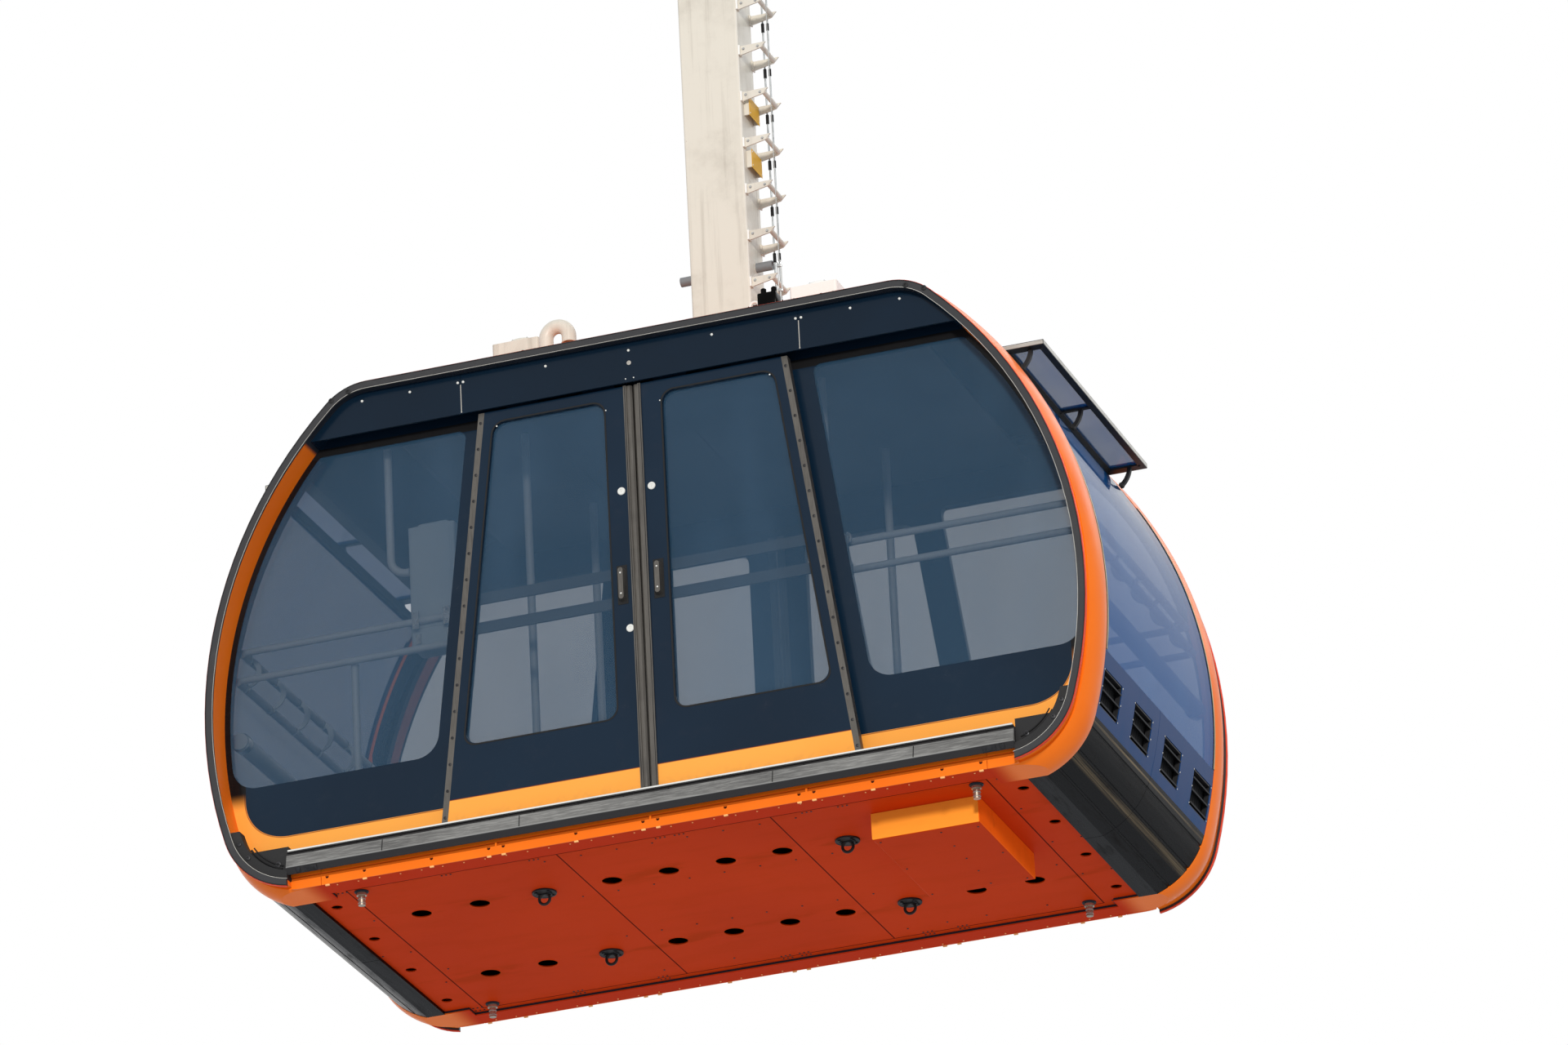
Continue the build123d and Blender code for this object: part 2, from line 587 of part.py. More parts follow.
        with BuildPart() as pane:
            with BuildSketch(at_side(side, leaf_face - LEAF_GLASS_SETBACK - SIDE_GLASS_THICK)):
                with BuildSketch() as opening:
                    quad(window_points)
                    fillet(opening.vertices(), radius=LEAF_WINDOW_R)
            extrude(amount=SIDE_GLASS_THICK)
        save(pane, f"door_glass_{side}_{end}")

        with BuildPart() as trim:
            # Profile of the meeting edge: a proud strip beside a lower, chamfered nose
            with BuildSketch(Plane.XY.offset(FLOOR_Z + LEAF_BOTTOM)) as meeting:
                with BuildLine() as border:
                    Polyline(*[(hand * x, out * y) for x, y in (
                        (LEAF_GAP, leaf_back), (meeting_x, leaf_back), (meeting_x, leaf_face + MEETING_PROUD),
                        (meeting_x - MEETING_STRIP, leaf_face + MEETING_PROUD),
                        (meeting_x - MEETING_STRIP, leaf_face), (LEAF_GAP + MEETING_PROUD, leaf_face),
                        (LEAF_GAP, leaf_face - MEETING_PROUD))], close=True)
                make_face(border.edges())
            extrude(meeting.sketch, amount=LEAF_TOP - LEAF_BOTTOM)
            with BuildSketch(at_side(side, leaf_back)) as edge:
                quad([(turn * x, height) for x, height in (
                    (leaf_edge(LEAF_BOTTOM) - EDGE_WIDTH, LEAF_BOTTOM), (leaf_edge(LEAF_BOTTOM), LEAF_BOTTOM),
                    (leaf_edge(LEAF_TOP), LEAF_TOP), (leaf_edge(LEAF_TOP) - EDGE_WIDTH, LEAF_TOP))])
            extrude(edge.sketch, amount=LEAF_THICK)
            with BuildSketch(at_side(side, leaf_back)) as bars:
                for height in WINDOW_BAR_HEIGHTS:
                    low, high = height - WINDOW_BAR_HEIGHT / 2, height + WINDOW_BAR_HEIGHT / 2
                    quad([(turn * x, z) for x, z in (
                        (LEAF_INNER_STILE, low), (leaf_edge(low) - LEAF_OUTER_STILE, low),
                        (leaf_edge(high) - LEAF_OUTER_STILE, high), (LEAF_INNER_STILE, high))])
            extrude(bars.sketch, amount=WINDOW_BAR_THICK)
            # Grip: a pad with round ends and a domed face
            with BuildSketch(at_side(side, leaf_face)) as pad:
                with Locations((turn * GRIP_X, FLOOR_Z + GRIP_Z)):
                    SlotOverall(GRIP_SIZE[1], GRIP_SIZE[0], rotation=90)
            extrude(pad.sketch, amount=GRIP_SIZE[2], taper=12)
        save(trim, f"door_trim_{side}_{end}")

# Moulded caps in the four lower corners: a low block, and a proud arm that follows the band
with BuildPart() as corner_caps:
    for side in ("right", "left"):
        for setback, top, inner in ((CAP_BLOCK_SETBACK, CAP_TOP, 0.0),
                                    (CAP_SETBACK, CAP_ARM_TOP, CAP_ARM_WIDTH)):
            with BuildSketch(at_side(side, SILL_FRONT)) as cap:
                outline(BAND_WIDTH + FIT)
                if inner:
                    outline(BAND_WIDTH + inner, Mode.SUBTRACT)
                keep((-FAR, FAR), (-BODY_LENGTH, top))
                keep((-BUMPER_HALF - FIT, BUMPER_HALF + FIT), (-BODY_LENGTH, 2 * top), Mode.SUBTRACT)
            extrude(cap.sketch, amount=SILL_DEPTH - setback)
save(corner_caps, "corner_caps")


def end_shell(hand, z_range, outer, inner):
    """Curved sheet of one end between the rings, from one inset to another."""
    with BuildSketch(at_side("right", -RING_BACK)) as profile:
        outline(outer)
        outline(inner, Mode.SUBTRACT)
        keep(sorted((hand * 1.0, hand * FAR)), z_range)
    extrude(profile.sketch, amount=2 * RING_BACK)


def end_point(hand, height, inset, y=0.0):
    """Point on one bowed end, at a height and an inset."""
    return hand * end_x(height, inset), y, FLOOR_Z + height


# Roof skin, down over both shoulders to the hatches
with BuildPart() as roof:
    with BuildSketch(at_side("right", -RING_BACK)):
        outline(-END_SWELL)
        outline(ROOF_INSET, Mode.SUBTRACT)
        keep((-FAR, FAR), (HATCH_TOP, 2 * HATCH_TOP))
    extrude(amount=2 * RING_BACK)
save(roof, "roof")

# Frames of the vent hatches, each an open slot across one end
with BuildPart() as hatch_frames:
    for hand in (1, -1):
        end_shell(hand, (HATCH_BOTTOM, HATCH_TOP), -END_SWELL, ROOF_INSET)
        with Locations(end_point(hand, HATCH_TOP - HATCH_HEIGHT / 2, 0)):
            Box(SHOULDER_R, 2 * (RING_BACK - HATCH_FRAME), HATCH_HEIGHT - 2 * HATCH_FRAME, mode=Mode.SUBTRACT)
save(hatch_frames, "hatch_frames")

# Sashes of the hatches, standing open on three curved stays each
hinge_x = end_x(HATCH_TOP - SASH_THICK, -END_SWELL) + FIT
sash_z = FLOOR_Z + HATCH_TOP - SASH_THICK / 2
with BuildPart() as hatch_sashes:
    with Locations(*[(hand * (hinge_x + SASH_REACH / 2), 0, sash_z) for hand in (1, -1)]):
        Box(SASH_REACH, 2 * SASH_HALF, SASH_THICK)
        Box(SASH_REACH - 2 * SASH_BORDER, 2 * (SASH_HALF - SASH_BORDER), SASH_THICK, mode=Mode.SUBTRACT)
    for hand in (1, -1):
        for stay_y in (STAY_THICK - SASH_HALF + SASH_BORDER, STAY_THICK / 2, SASH_HALF - SASH_BORDER):
            with BuildSketch(Plane.XZ.offset(-stay_y)) as stay:
                with BuildLine() as border:
                    for reach in (STAY_R - STAY_WIDTH / 2, STAY_R + STAY_WIDTH / 2):
                        ThreePointArc(*[(hand * (hinge_x + reach * cos(radians(turn))),
                                         sash_z - reach * sin(radians(turn)))
                                        for turn in (0.0, STAY_SWEEP / 2, STAY_SWEEP)])
                    for turn in (0.0, STAY_SWEEP):
                        Line(*[(hand * (hinge_x + reach * cos(radians(turn))),
                                sash_z - reach * sin(radians(turn)))
                               for reach in (STAY_R - STAY_WIDTH / 2, STAY_R + STAY_WIDTH / 2)])
                make_face(border.edges())
            extrude(stay.sketch, amount=STAY_THICK)
            with Locations((hand * (hinge_x + SASH_REACH / 2), stay_y - STAY_THICK / 2, sash_z)):
                Box(SASH_REACH, STAY_THICK, SASH_THICK)
save(hatch_sashes, "hatch_sashes")

# Curved end panes, and the panes of the open sashes
with BuildPart() as end_glazing:
    for hand in (1, -1):
        end_shell(hand, (END_PANEL_TOP, HATCH_BOTTOM), -END_SWELL, END_GLASS_THICK - END_SWELL)
    pane_length = SASH_REACH - 2 * SASH_BORDER
    stay_places = (STAY_THICK - SASH_HALF + SASH_BORDER, STAY_THICK / 2 - STAY_THICK, STAY_THICK / 2,
                   SASH_HALF - SASH_BORDER - STAY_THICK)
    for low_y, high_y in (stay_places[:2], stay_places[2:]):
        with Locations(*[(hand * (hinge_x + SASH_REACH / 2), (low_y + high_y) / 2, sash_z)
                         for hand in (1, -1)]):
            Box(pane_length, high_y - low_y, SIDE_GLASS_THICK)
save(end_glazing, "end_glazing")

# Lower end panels, each in two halves, pierced by the vents
vent_height = VENT_TOP - VENT_BOTTOM
vent_middle = (VENT_TOP + VENT_BOTTOM) / 2
with BuildPart() as end_panels:
    for hand in (1, -1):
        end_shell(hand, (END_COVER_TOP, END_PANEL_TOP), -END_SWELL, END_PANEL_THICK - END_SWELL)
        with Locations(end_point(hand, vent_middle, END_PANEL_THICK / 2 - END_SWELL)):
            with GridLocations(0, VENT_PITCH, 1, VENT_COUNT):
                Box(SHOULDER_R, VENT_WIDTH, vent_height, mode=Mode.SUBTRACT)
            Box(SHOULDER_R, SEAM, 2 * vent_height, mode=Mode.SUBTRACT)
save(end_panels, "end_panels")

# Louvres: in each vent a thin frame with slanted blades
with BuildPart() as vent_louvres:
    for hand in (1, -1):
        end_shell(hand, (VENT_BOTTOM, VENT_TOP), VENT_FRAME / 2 - END_SWELL, END_PANEL_THICK - END_SWELL)
        with Locations(end_point(hand, vent_middle, END_PANEL_THICK / 2 - END_SWELL)):
            with GridLocations(0, VENT_PITCH, 1, VENT_COUNT):
                Box(SHOULDER_R, VENT_WIDTH - 2 * VENT_FRAME, vent_height - 2 * VENT_FRAME, mode=Mode.SUBTRACT)
            with GridLocations(0, VENT_PITCH, 1, VENT_COUNT + 1):
                Box(SHOULDER_R, VENT_PITCH - VENT_WIDTH, 2 * vent_height, mode=Mode.SUBTRACT)
        for index in range(BLADE_COUNT):
            blade_z = VENT_BOTTOM + vent_height * (index + 0.5) / BLADE_COUNT
            blade_x, _, place_z = end_point(hand, blade_z, END_PANEL_THICK / 2 - END_SWELL + VENT_FRAME / 2)
            with Locations(Location((blade_x, 0, place_z), (0, hand * BLADE_TILT, 0))):
                with GridLocations(0, VENT_PITCH, 1, VENT_COUNT):
                    Box(BLADE_WIDTH, VENT_WIDTH - VENT_FRAME, BLADE_THICK)
save(vent_louvres, "vent_louvres")

# Black covers over the lower corners, each in two halves with lengthwise folds
with BuildPart() as end_covers:
    for hand in (1, -1):
        with BuildSketch(at_side("right", -RING_BACK)) as profile:
            outline(-END_SWELL)
            outline(END_COVER_INSET, Mode.SUBTRACT)
            keep(sorted((hand * FLOOR_HALF, hand * FAR)), (RING_BOTTOM, END_COVER_TOP))
            for turn in COVER_FOLDS:
                reach = CORNER_R + END_SWELL + COVER_FOLD_R / 3
                with Locations((hand * (CORNER_X + reach * cos(radians(turn))),
                                CORNER_Z - reach * sin(radians(turn)))):
                    Circle(COVER_FOLD_R, mode=Mode.SUBTRACT)
        extrude(profile.sketch, amount=2 * RING_BACK)
    with Locations((0, 0, FLOOR_Z)):
        Box(2 * BODY_LENGTH, SEAM, 2 * END_PANEL_TOP, mode=Mode.SUBTRACT)
save(end_covers, "end_covers")

# Floor tray: pierced skin with shallow seams, rim and cross ribs
tray_height = DECK_TOP - DECK_THICK
with BuildPart() as floor_tray:
    with BuildSketch(Plane.XY.offset(FLOOR_Z)):
        Rectangle(2 * FLOOR_HALF, 2 * RING_BACK)
        Rectangle(2 * (FOOT_RAIL_HALF - FIT), 2 * (FLOOR_SIDE - FIT))
    extrude(amount=TRAY_SKIN)
    with BuildSketch(Plane.XY.offset(FLOOR_Z)):
        Rectangle(2 * FLOOR_HALF, 2 * RING_BACK)
        Rectangle(2 * (FLOOR_HALF - TRAY_RIM), 2 * (RING_BACK - TRAY_RIM), mode=Mode.SUBTRACT)
        with Locations(*[(x, 0) for x in TRAY_RIB_X]):
            Rectangle(TRAY_RIM, 2 * RING_BACK)
    extrude(amount=tray_height)
    with BuildSketch(Plane.XY.offset(FLOOR_Z)):
        with Locations(*[(x, 0) for x in TRAY_RIB_X]):
            Rectangle(SEAM, 2 * (FLOOR_SIDE - EDGE_STRIP))
        with Locations((0, FLOOR_SIDE - EDGE_STRIP), (0, EDGE_STRIP - FLOOR_SIDE)):
            Rectangle(2 * (FLOOR_HALF - END_STRIP) + SEAM, SEAM)
    extrude(amount=SEAM_DEPTH, mode=Mode.SUBTRACT)
    with BuildSketch(Plane.XY.offset(FLOOR_Z)):
        with Locations(*[(x, y) for x in BIG_HOLE_X for y in (-HOLE_ROW_Y, HOLE_ROW_Y)]):
            Circle(BIG_HOLE_R)
        with Locations((-END_HOLE_X, 0), (END_HOLE_X, 0)):
            with GridLocations(0, END_HOLE_PITCH, 1, END_HOLE_COUNT):
                Circle(END_HOLE_R)
    extrude(amount=TRAY_SKIN, mode=Mode.SUBTRACT)
save(floor_tray, "floor_tray")

with BuildPart() as floor_deck:
    with BuildSketch(at_side("right", -WALL_BACK + FIT)):
        outline(DECK_INSET)
        keep((-FAR, FAR), (DECK_TOP - DECK_THICK, DECK_TOP))
    extrude(amount=2 * (WALL_BACK - FIT))
save(floor_deck, "floor_deck")

# Shallow box hung under the floor, its lower edges rounded
with BuildPart() as underfloor_box:
    with Locations((sum(FLOOR_BOX_X) / 2, sum(FLOOR_BOX_Y) / 2, FLOOR_Z)):
        Box(FLOOR_BOX_X[1] - FLOOR_BOX_X[0], FLOOR_BOX_Y[1] - FLOOR_BOX_Y[0], FLOOR_BOX_DEPTH,
            align=(Align.CENTER, Align.CENTER, Align.MAX))
    fillet(underfloor_box.faces().sort_by(Axis.Z)[0].edges(), radius=FLOOR_BOX_EDGE_R)
save(underfloor_box, "underfloor_box")

# Under the floor: four tie-down discs with their rings, and four feet
with BuildPart() as floor_fittings:
    for x in (-TIE_DISC_X, TIE_DISC_X):
        for y in (-HOLE_ROW_Y, HOLE_ROW_Y):
            with Locations((x, y, FLOOR_Z)):
                Cylinder(TIE_DISC_R, TIE_DISC_THICK, align=(Align.CENTER, Align.CENTER, Align.MAX))
            with Locations(Location((x, y, FLOOR_Z - TIE_DISC_THICK - TIE_RING_R), (90, 0, 0))):
                Torus(TIE_RING_R, TIE_WIRE_R)
    for x in (-FOOT_PIN_X, FOOT_PIN_X):
        for y in (-RING_BACK, RING_BACK):
            with Locations((x, y, FLOOR_Z)):
                Cylinder(FOOT_PIN_R, FOOT_PIN_LENGTH, align=(Align.CENTER, Align.CENTER, Align.MAX))
                Cylinder(FOOT_COLLAR_R, FOOT_COLLAR, align=(Align.CENTER, Align.CENTER, Align.MAX))
save(floor_fittings, "floor_fittings")

# On the roof: two boxes with domed lids, a gooseneck pipe, a cable gland and a lifting eye
with BuildPart() as roof_fittings:
    for x in (-ROOF_BOX_X, ROOF_BOX_X):
        with Locations((x, ROOF_BOX_Y, ROOF_TOP)):
            box = Box(*ROOF_BOX_SIZE, align=(Align.CENTER, Align.CENTER, Align.MIN))
        fillet(box.edges().filter_by(Axis.Z), radius=ROOF_BOX_EDGE_R)
        with Locations((x, ROOF_BOX_Y, ROOF_TOP + ROOF_BOX_SIZE[2])):
            lid = Cylinder(LID_R, LID_RISE, align=(Align.CENTER, Align.CENTER, Align.MIN))
        fillet(lid.edges().filter_by(GeomType.CIRCLE).sort_by(Axis.Z)[-1], radius=LID_CROWN)
    bend_z = ROOF_TOP + GOOSENECK_RISE
    with BuildLine() as neck:
        Line((GOOSENECK_X, GOOSENECK_Y, ROOF_TOP), (GOOSENECK_X, GOOSENECK_Y, bend_z))
        ThreePointArc((GOOSENECK_X, GOOSENECK_Y, bend_z),
                      (GOOSENECK_X + GOOSENECK_BEND, GOOSENECK_Y, bend_z + GOOSENECK_BEND),
                      (GOOSENECK_X + 2 * GOOSENECK_BEND, GOOSENECK_Y, bend_z))
        Line((GOOSENECK_X + 2 * GOOSENECK_BEND, GOOSENECK_Y, bend_z),
             (GOOSENECK_X + 2 * GOOSENECK_BEND, GOOSENECK_Y, bend_z - GOOSENECK_R))
    for radius, mode in ((GOOSENECK_R, Mode.ADD), (GOOSENECK_BORE, Mode.SUBTRACT)):
        with BuildSketch(Plane.XY.offset(ROOF_TOP)) as pipe:
            with Locations((GOOSENECK_X, GOOSENECK_Y)):
                Circle(radius)
        sweep(pipe.sketch, path=neck.wire(), mode=mode)
    with Locations((GLAND_X, GLAND_Y, ROOF_TOP)):
        Box(*GLAND_SIZE, align=(Align.CENTER, Align.CENTER, Align.MIN))
    with Locations((EYE_X, GLAND_Y, ROOF_TOP)):
        Cylinder(EYE_SHANK_R, EYE_RISE - EYE_R, align=(Align.CENTER, Align.CENTER, Align.MIN))
    with Locations(Location((EYE_X, GLAND_Y, ROOF_TOP + EYE_RISE), (90, 0, 0))):
        Torus(EYE_R, EYE_WIRE_R)
save(roof_fittings, "roof_fittings")

# Interior
with BuildPart() as ceiling:
    with Locations((0, 0, FLOOR_Z + CEILING_Z)):
        Box(2 * CEILING_HALF, 2 * (WALL_BACK - FIT), CEILING_THICK,
            align=(Align.CENTER, Align.CENTER, Align.MIN))
save(ceiling, "ceiling")

with BuildPart() as side_handrails:
    rail_y = WALL_BACK - RAIL_STANDOFF
    foot_y = WALL_BACK - FIT - RAIL_STANDOFF / 2
    for height in RAIL_HEIGHTS:
        rail_end = end_point(1, height, END_RAIL_INSET)[0] - END_RAIL_R - FIT
        rail_length = rail_end - RAIL_START + 2 * RAIL_FOOT_R
        for out in (-1, 1):
            for hand in (1, -1):
                with Locations(Location((hand * (rail_end - rail_length / 2), out * rail_y, FLOOR_Z + height),
                                        (0, 90, 0))):
                    Cylinder(RAIL_R, rail_length)
                with Locations(Location((hand * RAIL_START, out * foot_y, FLOOR_Z + height), (90, 0, 0))):
                    Cylinder(RAIL_FOOT_R, RAIL_STANDOFF)
save(side_handrails, "side_handrails")

# Across each end: two handrails tied by curved brackets, and a thick tube below them
with BuildPart() as end_handrails:
    low_rail, high_rail = RAIL_HEIGHTS
    for hand in (1, -1):
        for height, radius, inset in ((low_rail, END_RAIL_R, END_RAIL_INSET),
                                      (high_rail, END_RAIL_R, END_RAIL_INSET),
                                      (END_TUBE_HEIGHT, END_TUBE_R, END_TUBE_INSET)):
            with Locations(Location(end_point(hand, height, inset), (90, 0, 0))):
                Cylinder(radius, 2 * (RING_BACK - FIT))
        low_x, _, low_z = end_point(hand, low_rail, END_RAIL_INSET)
        high_x, _, high_z = end_point(hand, high_rail, END_RAIL_INSET)
        for bracket_y in RAIL_BRACKET_Y:
            for y in (-bracket_y, bracket_y):
                with BuildSketch(Plane.XZ.offset(-y - RAIL_BRACKET_THICK / 2)) as bracket:
                    bulge = hand * (high_rail - low_rail) / 3
                    with BuildLine() as border:
                        for reach in (0.0, hand * RAIL_BRACKET_WIDTH):
                            middle = ((low_x + high_x) / 2 - reach - bulge, (low_z + high_z) / 2)
                            ThreePointArc((low_x - reach, low_z), middle, (high_x - reach, high_z))
                        Line((low_x, low_z), (low_x - hand * RAIL_BRACKET_WIDTH, low_z))
                        Line((high_x, high_z), (high_x - hand * RAIL_BRACKET_WIDTH, high_z))
                    make_face(border.edges())
                extrude(bracket.sketch, amount=RAIL_BRACKET_THICK)
save(end_handrails, "end_handrails")

# Grab poles: four upright ones, one bent towards the control box, and a short post
with BuildPart() as grab_poles:
    with Locations((0, 0, FLOOR_Z + DECK_TOP)):
        with GridLocations(2 * POLE_X, 2 * POLE_Y, 2, 2):
            Cylinder(POLE_R, CEILING_Z - DECK_TOP, align=(Align.CENTER, Align.CENTER, Align.MIN))
    bend_y = -(WALL_BACK - RAIL_STANDOFF - RAIL_R - POLE_R - FIT)
    with BuildLine() as bent:
        FilletPolyline(*[(x, bend_y, FLOOR_Z + height) for x, height in GRAB_BEND], radius=GRAB_BEND_R)
    with BuildSketch(Plane.XY.offset(FLOOR_Z + GRAB_BEND[0][1])) as tube:
        with Locations((GRAB_BEND[0][0], bend_y)):
            Circle(POLE_R)
    sweep(tube.sketch, path=bent.wire())
    with Locations((POST_X, bend_y, FLOOR_Z + DECK_TOP)):
        Cylinder(POLE_R, POST_TOP - DECK_TOP, align=(Align.CENTER, Align.CENTER, Align.MIN))
save(grab_poles, "grab_poles")

with BuildPart() as control_box:
    rails_inner = WALL_BACK - RAIL_STANDOFF - RAIL_R - FIT
    with Locations((sum(CONTROL_BOX_X) / 2, CONTROL_BOX_DEPTH / 2 - rails_inner,
                    FLOOR_Z + sum(CONTROL_BOX_Z) / 2)):
        Box(CONTROL_BOX_X[1] - CONTROL_BOX_X[0], CONTROL_BOX_DEPTH, CONTROL_BOX_Z[1] - CONTROL_BOX_Z[0])
    fillet(control_box.edges().filter_by(Axis.Z), radius=CONTROL_BOX_R)
save(control_box, "control_box")

# Hanger arm: box section up beside the rope, then over to the middle of the carriage
arm_top = BRIDGE_Z + ARM_DEPTH / 2
arm_foot = ROOF_TOP + YOKE_HEIGHT
with BuildPart() as hanger_arm:
    with BuildLine() as arm_path:
        Line((0, ARM_OFFSET, arm_foot), (0, ARM_OFFSET, arm_top - ARM_BEND_R))
        ThreePointArc((0, ARM_OFFSET, arm_top - ARM_BEND_R),
                      (0, ARM_OFFSET - ARM_BEND_R * (1 - cos(radians(45))),
                       arm_top - ARM_BEND_R * (1 - sin(radians(45)))),
                      (0, ARM_OFFSET - ARM_BEND_R, arm_top))
        Line((0, ARM_OFFSET - ARM_BEND_R, arm_top), (0, -CHEEK_INNER - CHEEK_THICK, arm_top))
    with BuildSketch(Plane.XY.offset(arm_foot)):
        with Locations((0, ARM_OFFSET)):
            RectangleRounded(ARM_WIDTH, ARM_DEPTH, ARM_EDGE_R)
    sweep()
    # Foot plate that bolts to the yoke
    with Locations((0, ARM_OFFSET, arm_foot)):
        Box(ARM_WIDTH + 2 * FOOT_PLATE, ARM_DEPTH + 2 * FOOT_PLATE, FOOT_PLATE_THICK,
            align=(Align.CENTER, Align.CENTER, Align.MIN))
    # Stubs of the round bar that passes through the arm
    for hand in (1, -1):
        with Locations(Location((hand * (ARM_WIDTH + CROSSBAR_REACH) / 2, ARM_OFFSET, FLOOR_Z + CROSSBAR_Z),
                                (0, 90, 0))):
            Cylinder(CROSSBAR_R, CROSSBAR_REACH)
            Cylinder(CROSSBAR_BORE, CROSSBAR_REACH, mode=Mode.SUBTRACT)
    # Cheeks that hang from the crook and hold the suspension pin
    for y in (CHEEK_INNER + CHEEK_THICK, -CHEEK_INNER):
        with BuildSketch(Plane.XZ.offset(-y)):
            with Locations((0, MAIN_PIN_Z)):
                Circle(CHEEK_R)
            with Locations((0, BRIDGE_Z + ARM_DEPTH / 4)):
                Rectangle(ARM_WIDTH - 2 * ARM_EDGE_R, ARM_DEPTH / 2)
            make_hull()
            with Locations((0, MAIN_PIN_Z)):
                Circle(PIN_R + RUNNING_FIT, mode=Mode.SUBTRACT)
        extrude(amount=CHEEK_THICK)
save(hanger_arm, "hanger_arm")

# Yoke across the roof, wider under the arm's foot, its ends tapered
with BuildPart() as roof_yoke:
    with BuildSketch(Plane.YZ.offset(-ARM_WIDTH / 2)) as beam:
        with BuildLine() as border:
            Polyline((-YOKE_REACH, ROOF_TOP), (YOKE_REACH, ROOF_TOP), (YOKE_REACH, ROOF_TOP + YOKE_HEIGHT),
                     (-ARM_OFFSET / 2, ROOF_TOP + YOKE_HEIGHT), (-YOKE_REACH, ROOF_TOP + YOKE_HEIGHT / 2),
                     close=True)
        make_face(border.edges())
    extrude(beam.sketch, amount=ARM_WIDTH)
    with Locations((0, ARM_OFFSET, ROOF_TOP)):
        Box(ARM_WIDTH + 2 * FOOT_PLATE, ARM_DEPTH + 2 * FOOT_PLATE, YOKE_HEIGHT,
            align=(Align.CENTER, Align.CENTER, Align.MIN))
save(roof_yoke, "roof_yoke")

# Ladder steps: a rung between two tapered side plates with feet on the arm's face
with BuildPart() as arm_ladder:
    face_x = ARM_WIDTH / 2 + FIT
    for index in range(RUNG_COUNT):
        rung_z = FLOOR_Z + FIRST_RUNG_HEIGHT + index * RUNG_PITCH
        with Locations(Location((face_x + RUNG_REACH, ARM_OFFSET, rung_z), (90, 0, 0))):
            Cylinder(RUNG_R, 2 * RUNG_HALF)
        for y in (-RUNG_HALF, RUNG_HALF):
            with BuildSketch(Plane.XZ.offset(-ARM_OFFSET - y - BRACKET_THICK / 2)) as plate:
                with BuildLine() as border:
                    tip_x = face_x + RUNG_REACH + BRACKET_END
                    top_z = rung_z + BRACKET_TIP / 2
                    Polyline((face_x, top_z - BRACKET_HEIGHT), (tip_x - BRACKET_END, top_z - BRACKET_TIP),
                             (tip_x, top_z), (face_x, top_z), close=True)
                make_face(border.edges())
            extrude(plate.sketch, amount=BRACKET_THICK)
            with Locations((face_x, ARM_OFFSET + y, top_z)):
                Box(BRACKET_THICK, BRACKET_THICK + 2 * BRACKET_FOOT, BRACKET_HEIGHT,
                    align=(Align.MIN, Align.CENTER, Align.MAX))
save(arm_ladder, "arm_ladder")

# Suspension pin, with the swing damper's drum on its outer end
with BuildPart() as suspension_pin:
    pin_half = CHEEK_INNER + CHEEK_THICK
    with Locations(Location((0, 0, MAIN_PIN_Z), (90, 0, 0))):
        Cylinder(PIN_R, 2 * pin_half)
    with Locations(Location((0, -pin_half - DAMPER_THICK / 2 - FIT, MAIN_PIN_Z), (90, 0, 0))):
        Cylinder(DAMPER_R, DAMPER_THICK)
    with Locations(Location((0, -pin_half, MAIN_PIN_Z), (90, 0, 0))):
        Cylinder(PIN_R, 2 * FIT)
save(suspension_pin, "suspension_pin")


def rocker(centre_x, pivot_z, eye_z, eye_pitch, sizes, eye_pin_r, pivot_pin_r):
    """Pair of plates between two eyes and a higher pivot, joined by a tube round the pivot."""
    for y in (sizes["inner"] + sizes["plate"], -sizes["inner"]):
        with BuildSketch(Plane.XZ.offset(-y)) as plate:
            with Locations((centre_x - eye_pitch / 2, eye_z), (centre_x + eye_pitch / 2, eye_z)):
                Circle(sizes["eye_r"])
            with Locations((centre_x, pivot_z)):
                Circle(sizes["pivot_r"])
            make_hull()
            with Locations((centre_x - eye_pitch / 2, eye_z), (centre_x + eye_pitch / 2, eye_z)):
                Circle(eye_pin_r + FIT, mode=Mode.SUBTRACT)
        extrude(plate.sketch, amount=sizes["plate"])
    with Locations(Location((centre_x, 0, pivot_z), (90, 0, 0))):
        Cylinder(sizes["pivot_r"] - PIVOT_WALL, 2 * sizes["inner"])
        Cylinder(pivot_pin_r, 2 * (sizes["inner"] + sizes["plate"]), mode=Mode.SUBTRACT)


SMALL_PIN_R = SMALL_ROCKER["pin_r"]
LARGE_PIN_R = LARGE_ROCKER["pin_r"]
ROLLER_X = [ROLLER_PITCH * (index - (ROLLER_COUNT - 1) / 2) for index in range(ROLLER_COUNT)]
SMALL_PIVOT_X = [(first + second) / 2 for first, second in zip(ROLLER_X[::2], ROLLER_X[1::2])]
LARGE_PIVOT_X = [(first + second) / 2 for first, second in zip(SMALL_PIVOT_X[::2], SMALL_PIVOT_X[1::2])]

with BuildPart() as two_roller_rockers:
    for x in SMALL_PIVOT_X:
        rocker(x, SMALL_PIN_Z, AXLE_Z, ROLLER_PITCH, SMALL_ROCKER, AXLE_R, SMALL_PIN_R + FIT)
save(two_roller_rockers, "two_roller_rockers")

with BuildPart() as four_roller_rockers:
    for x in LARGE_PIVOT_X:
        rocker(x, LARGE_PIN_Z, SMALL_PIN_Z, 2 * ROLLER_PITCH, LARGE_ROCKER, SMALL_PIN_R, LARGE_PIN_R + FIT)
save(four_roller_rockers, "four_roller_rockers")

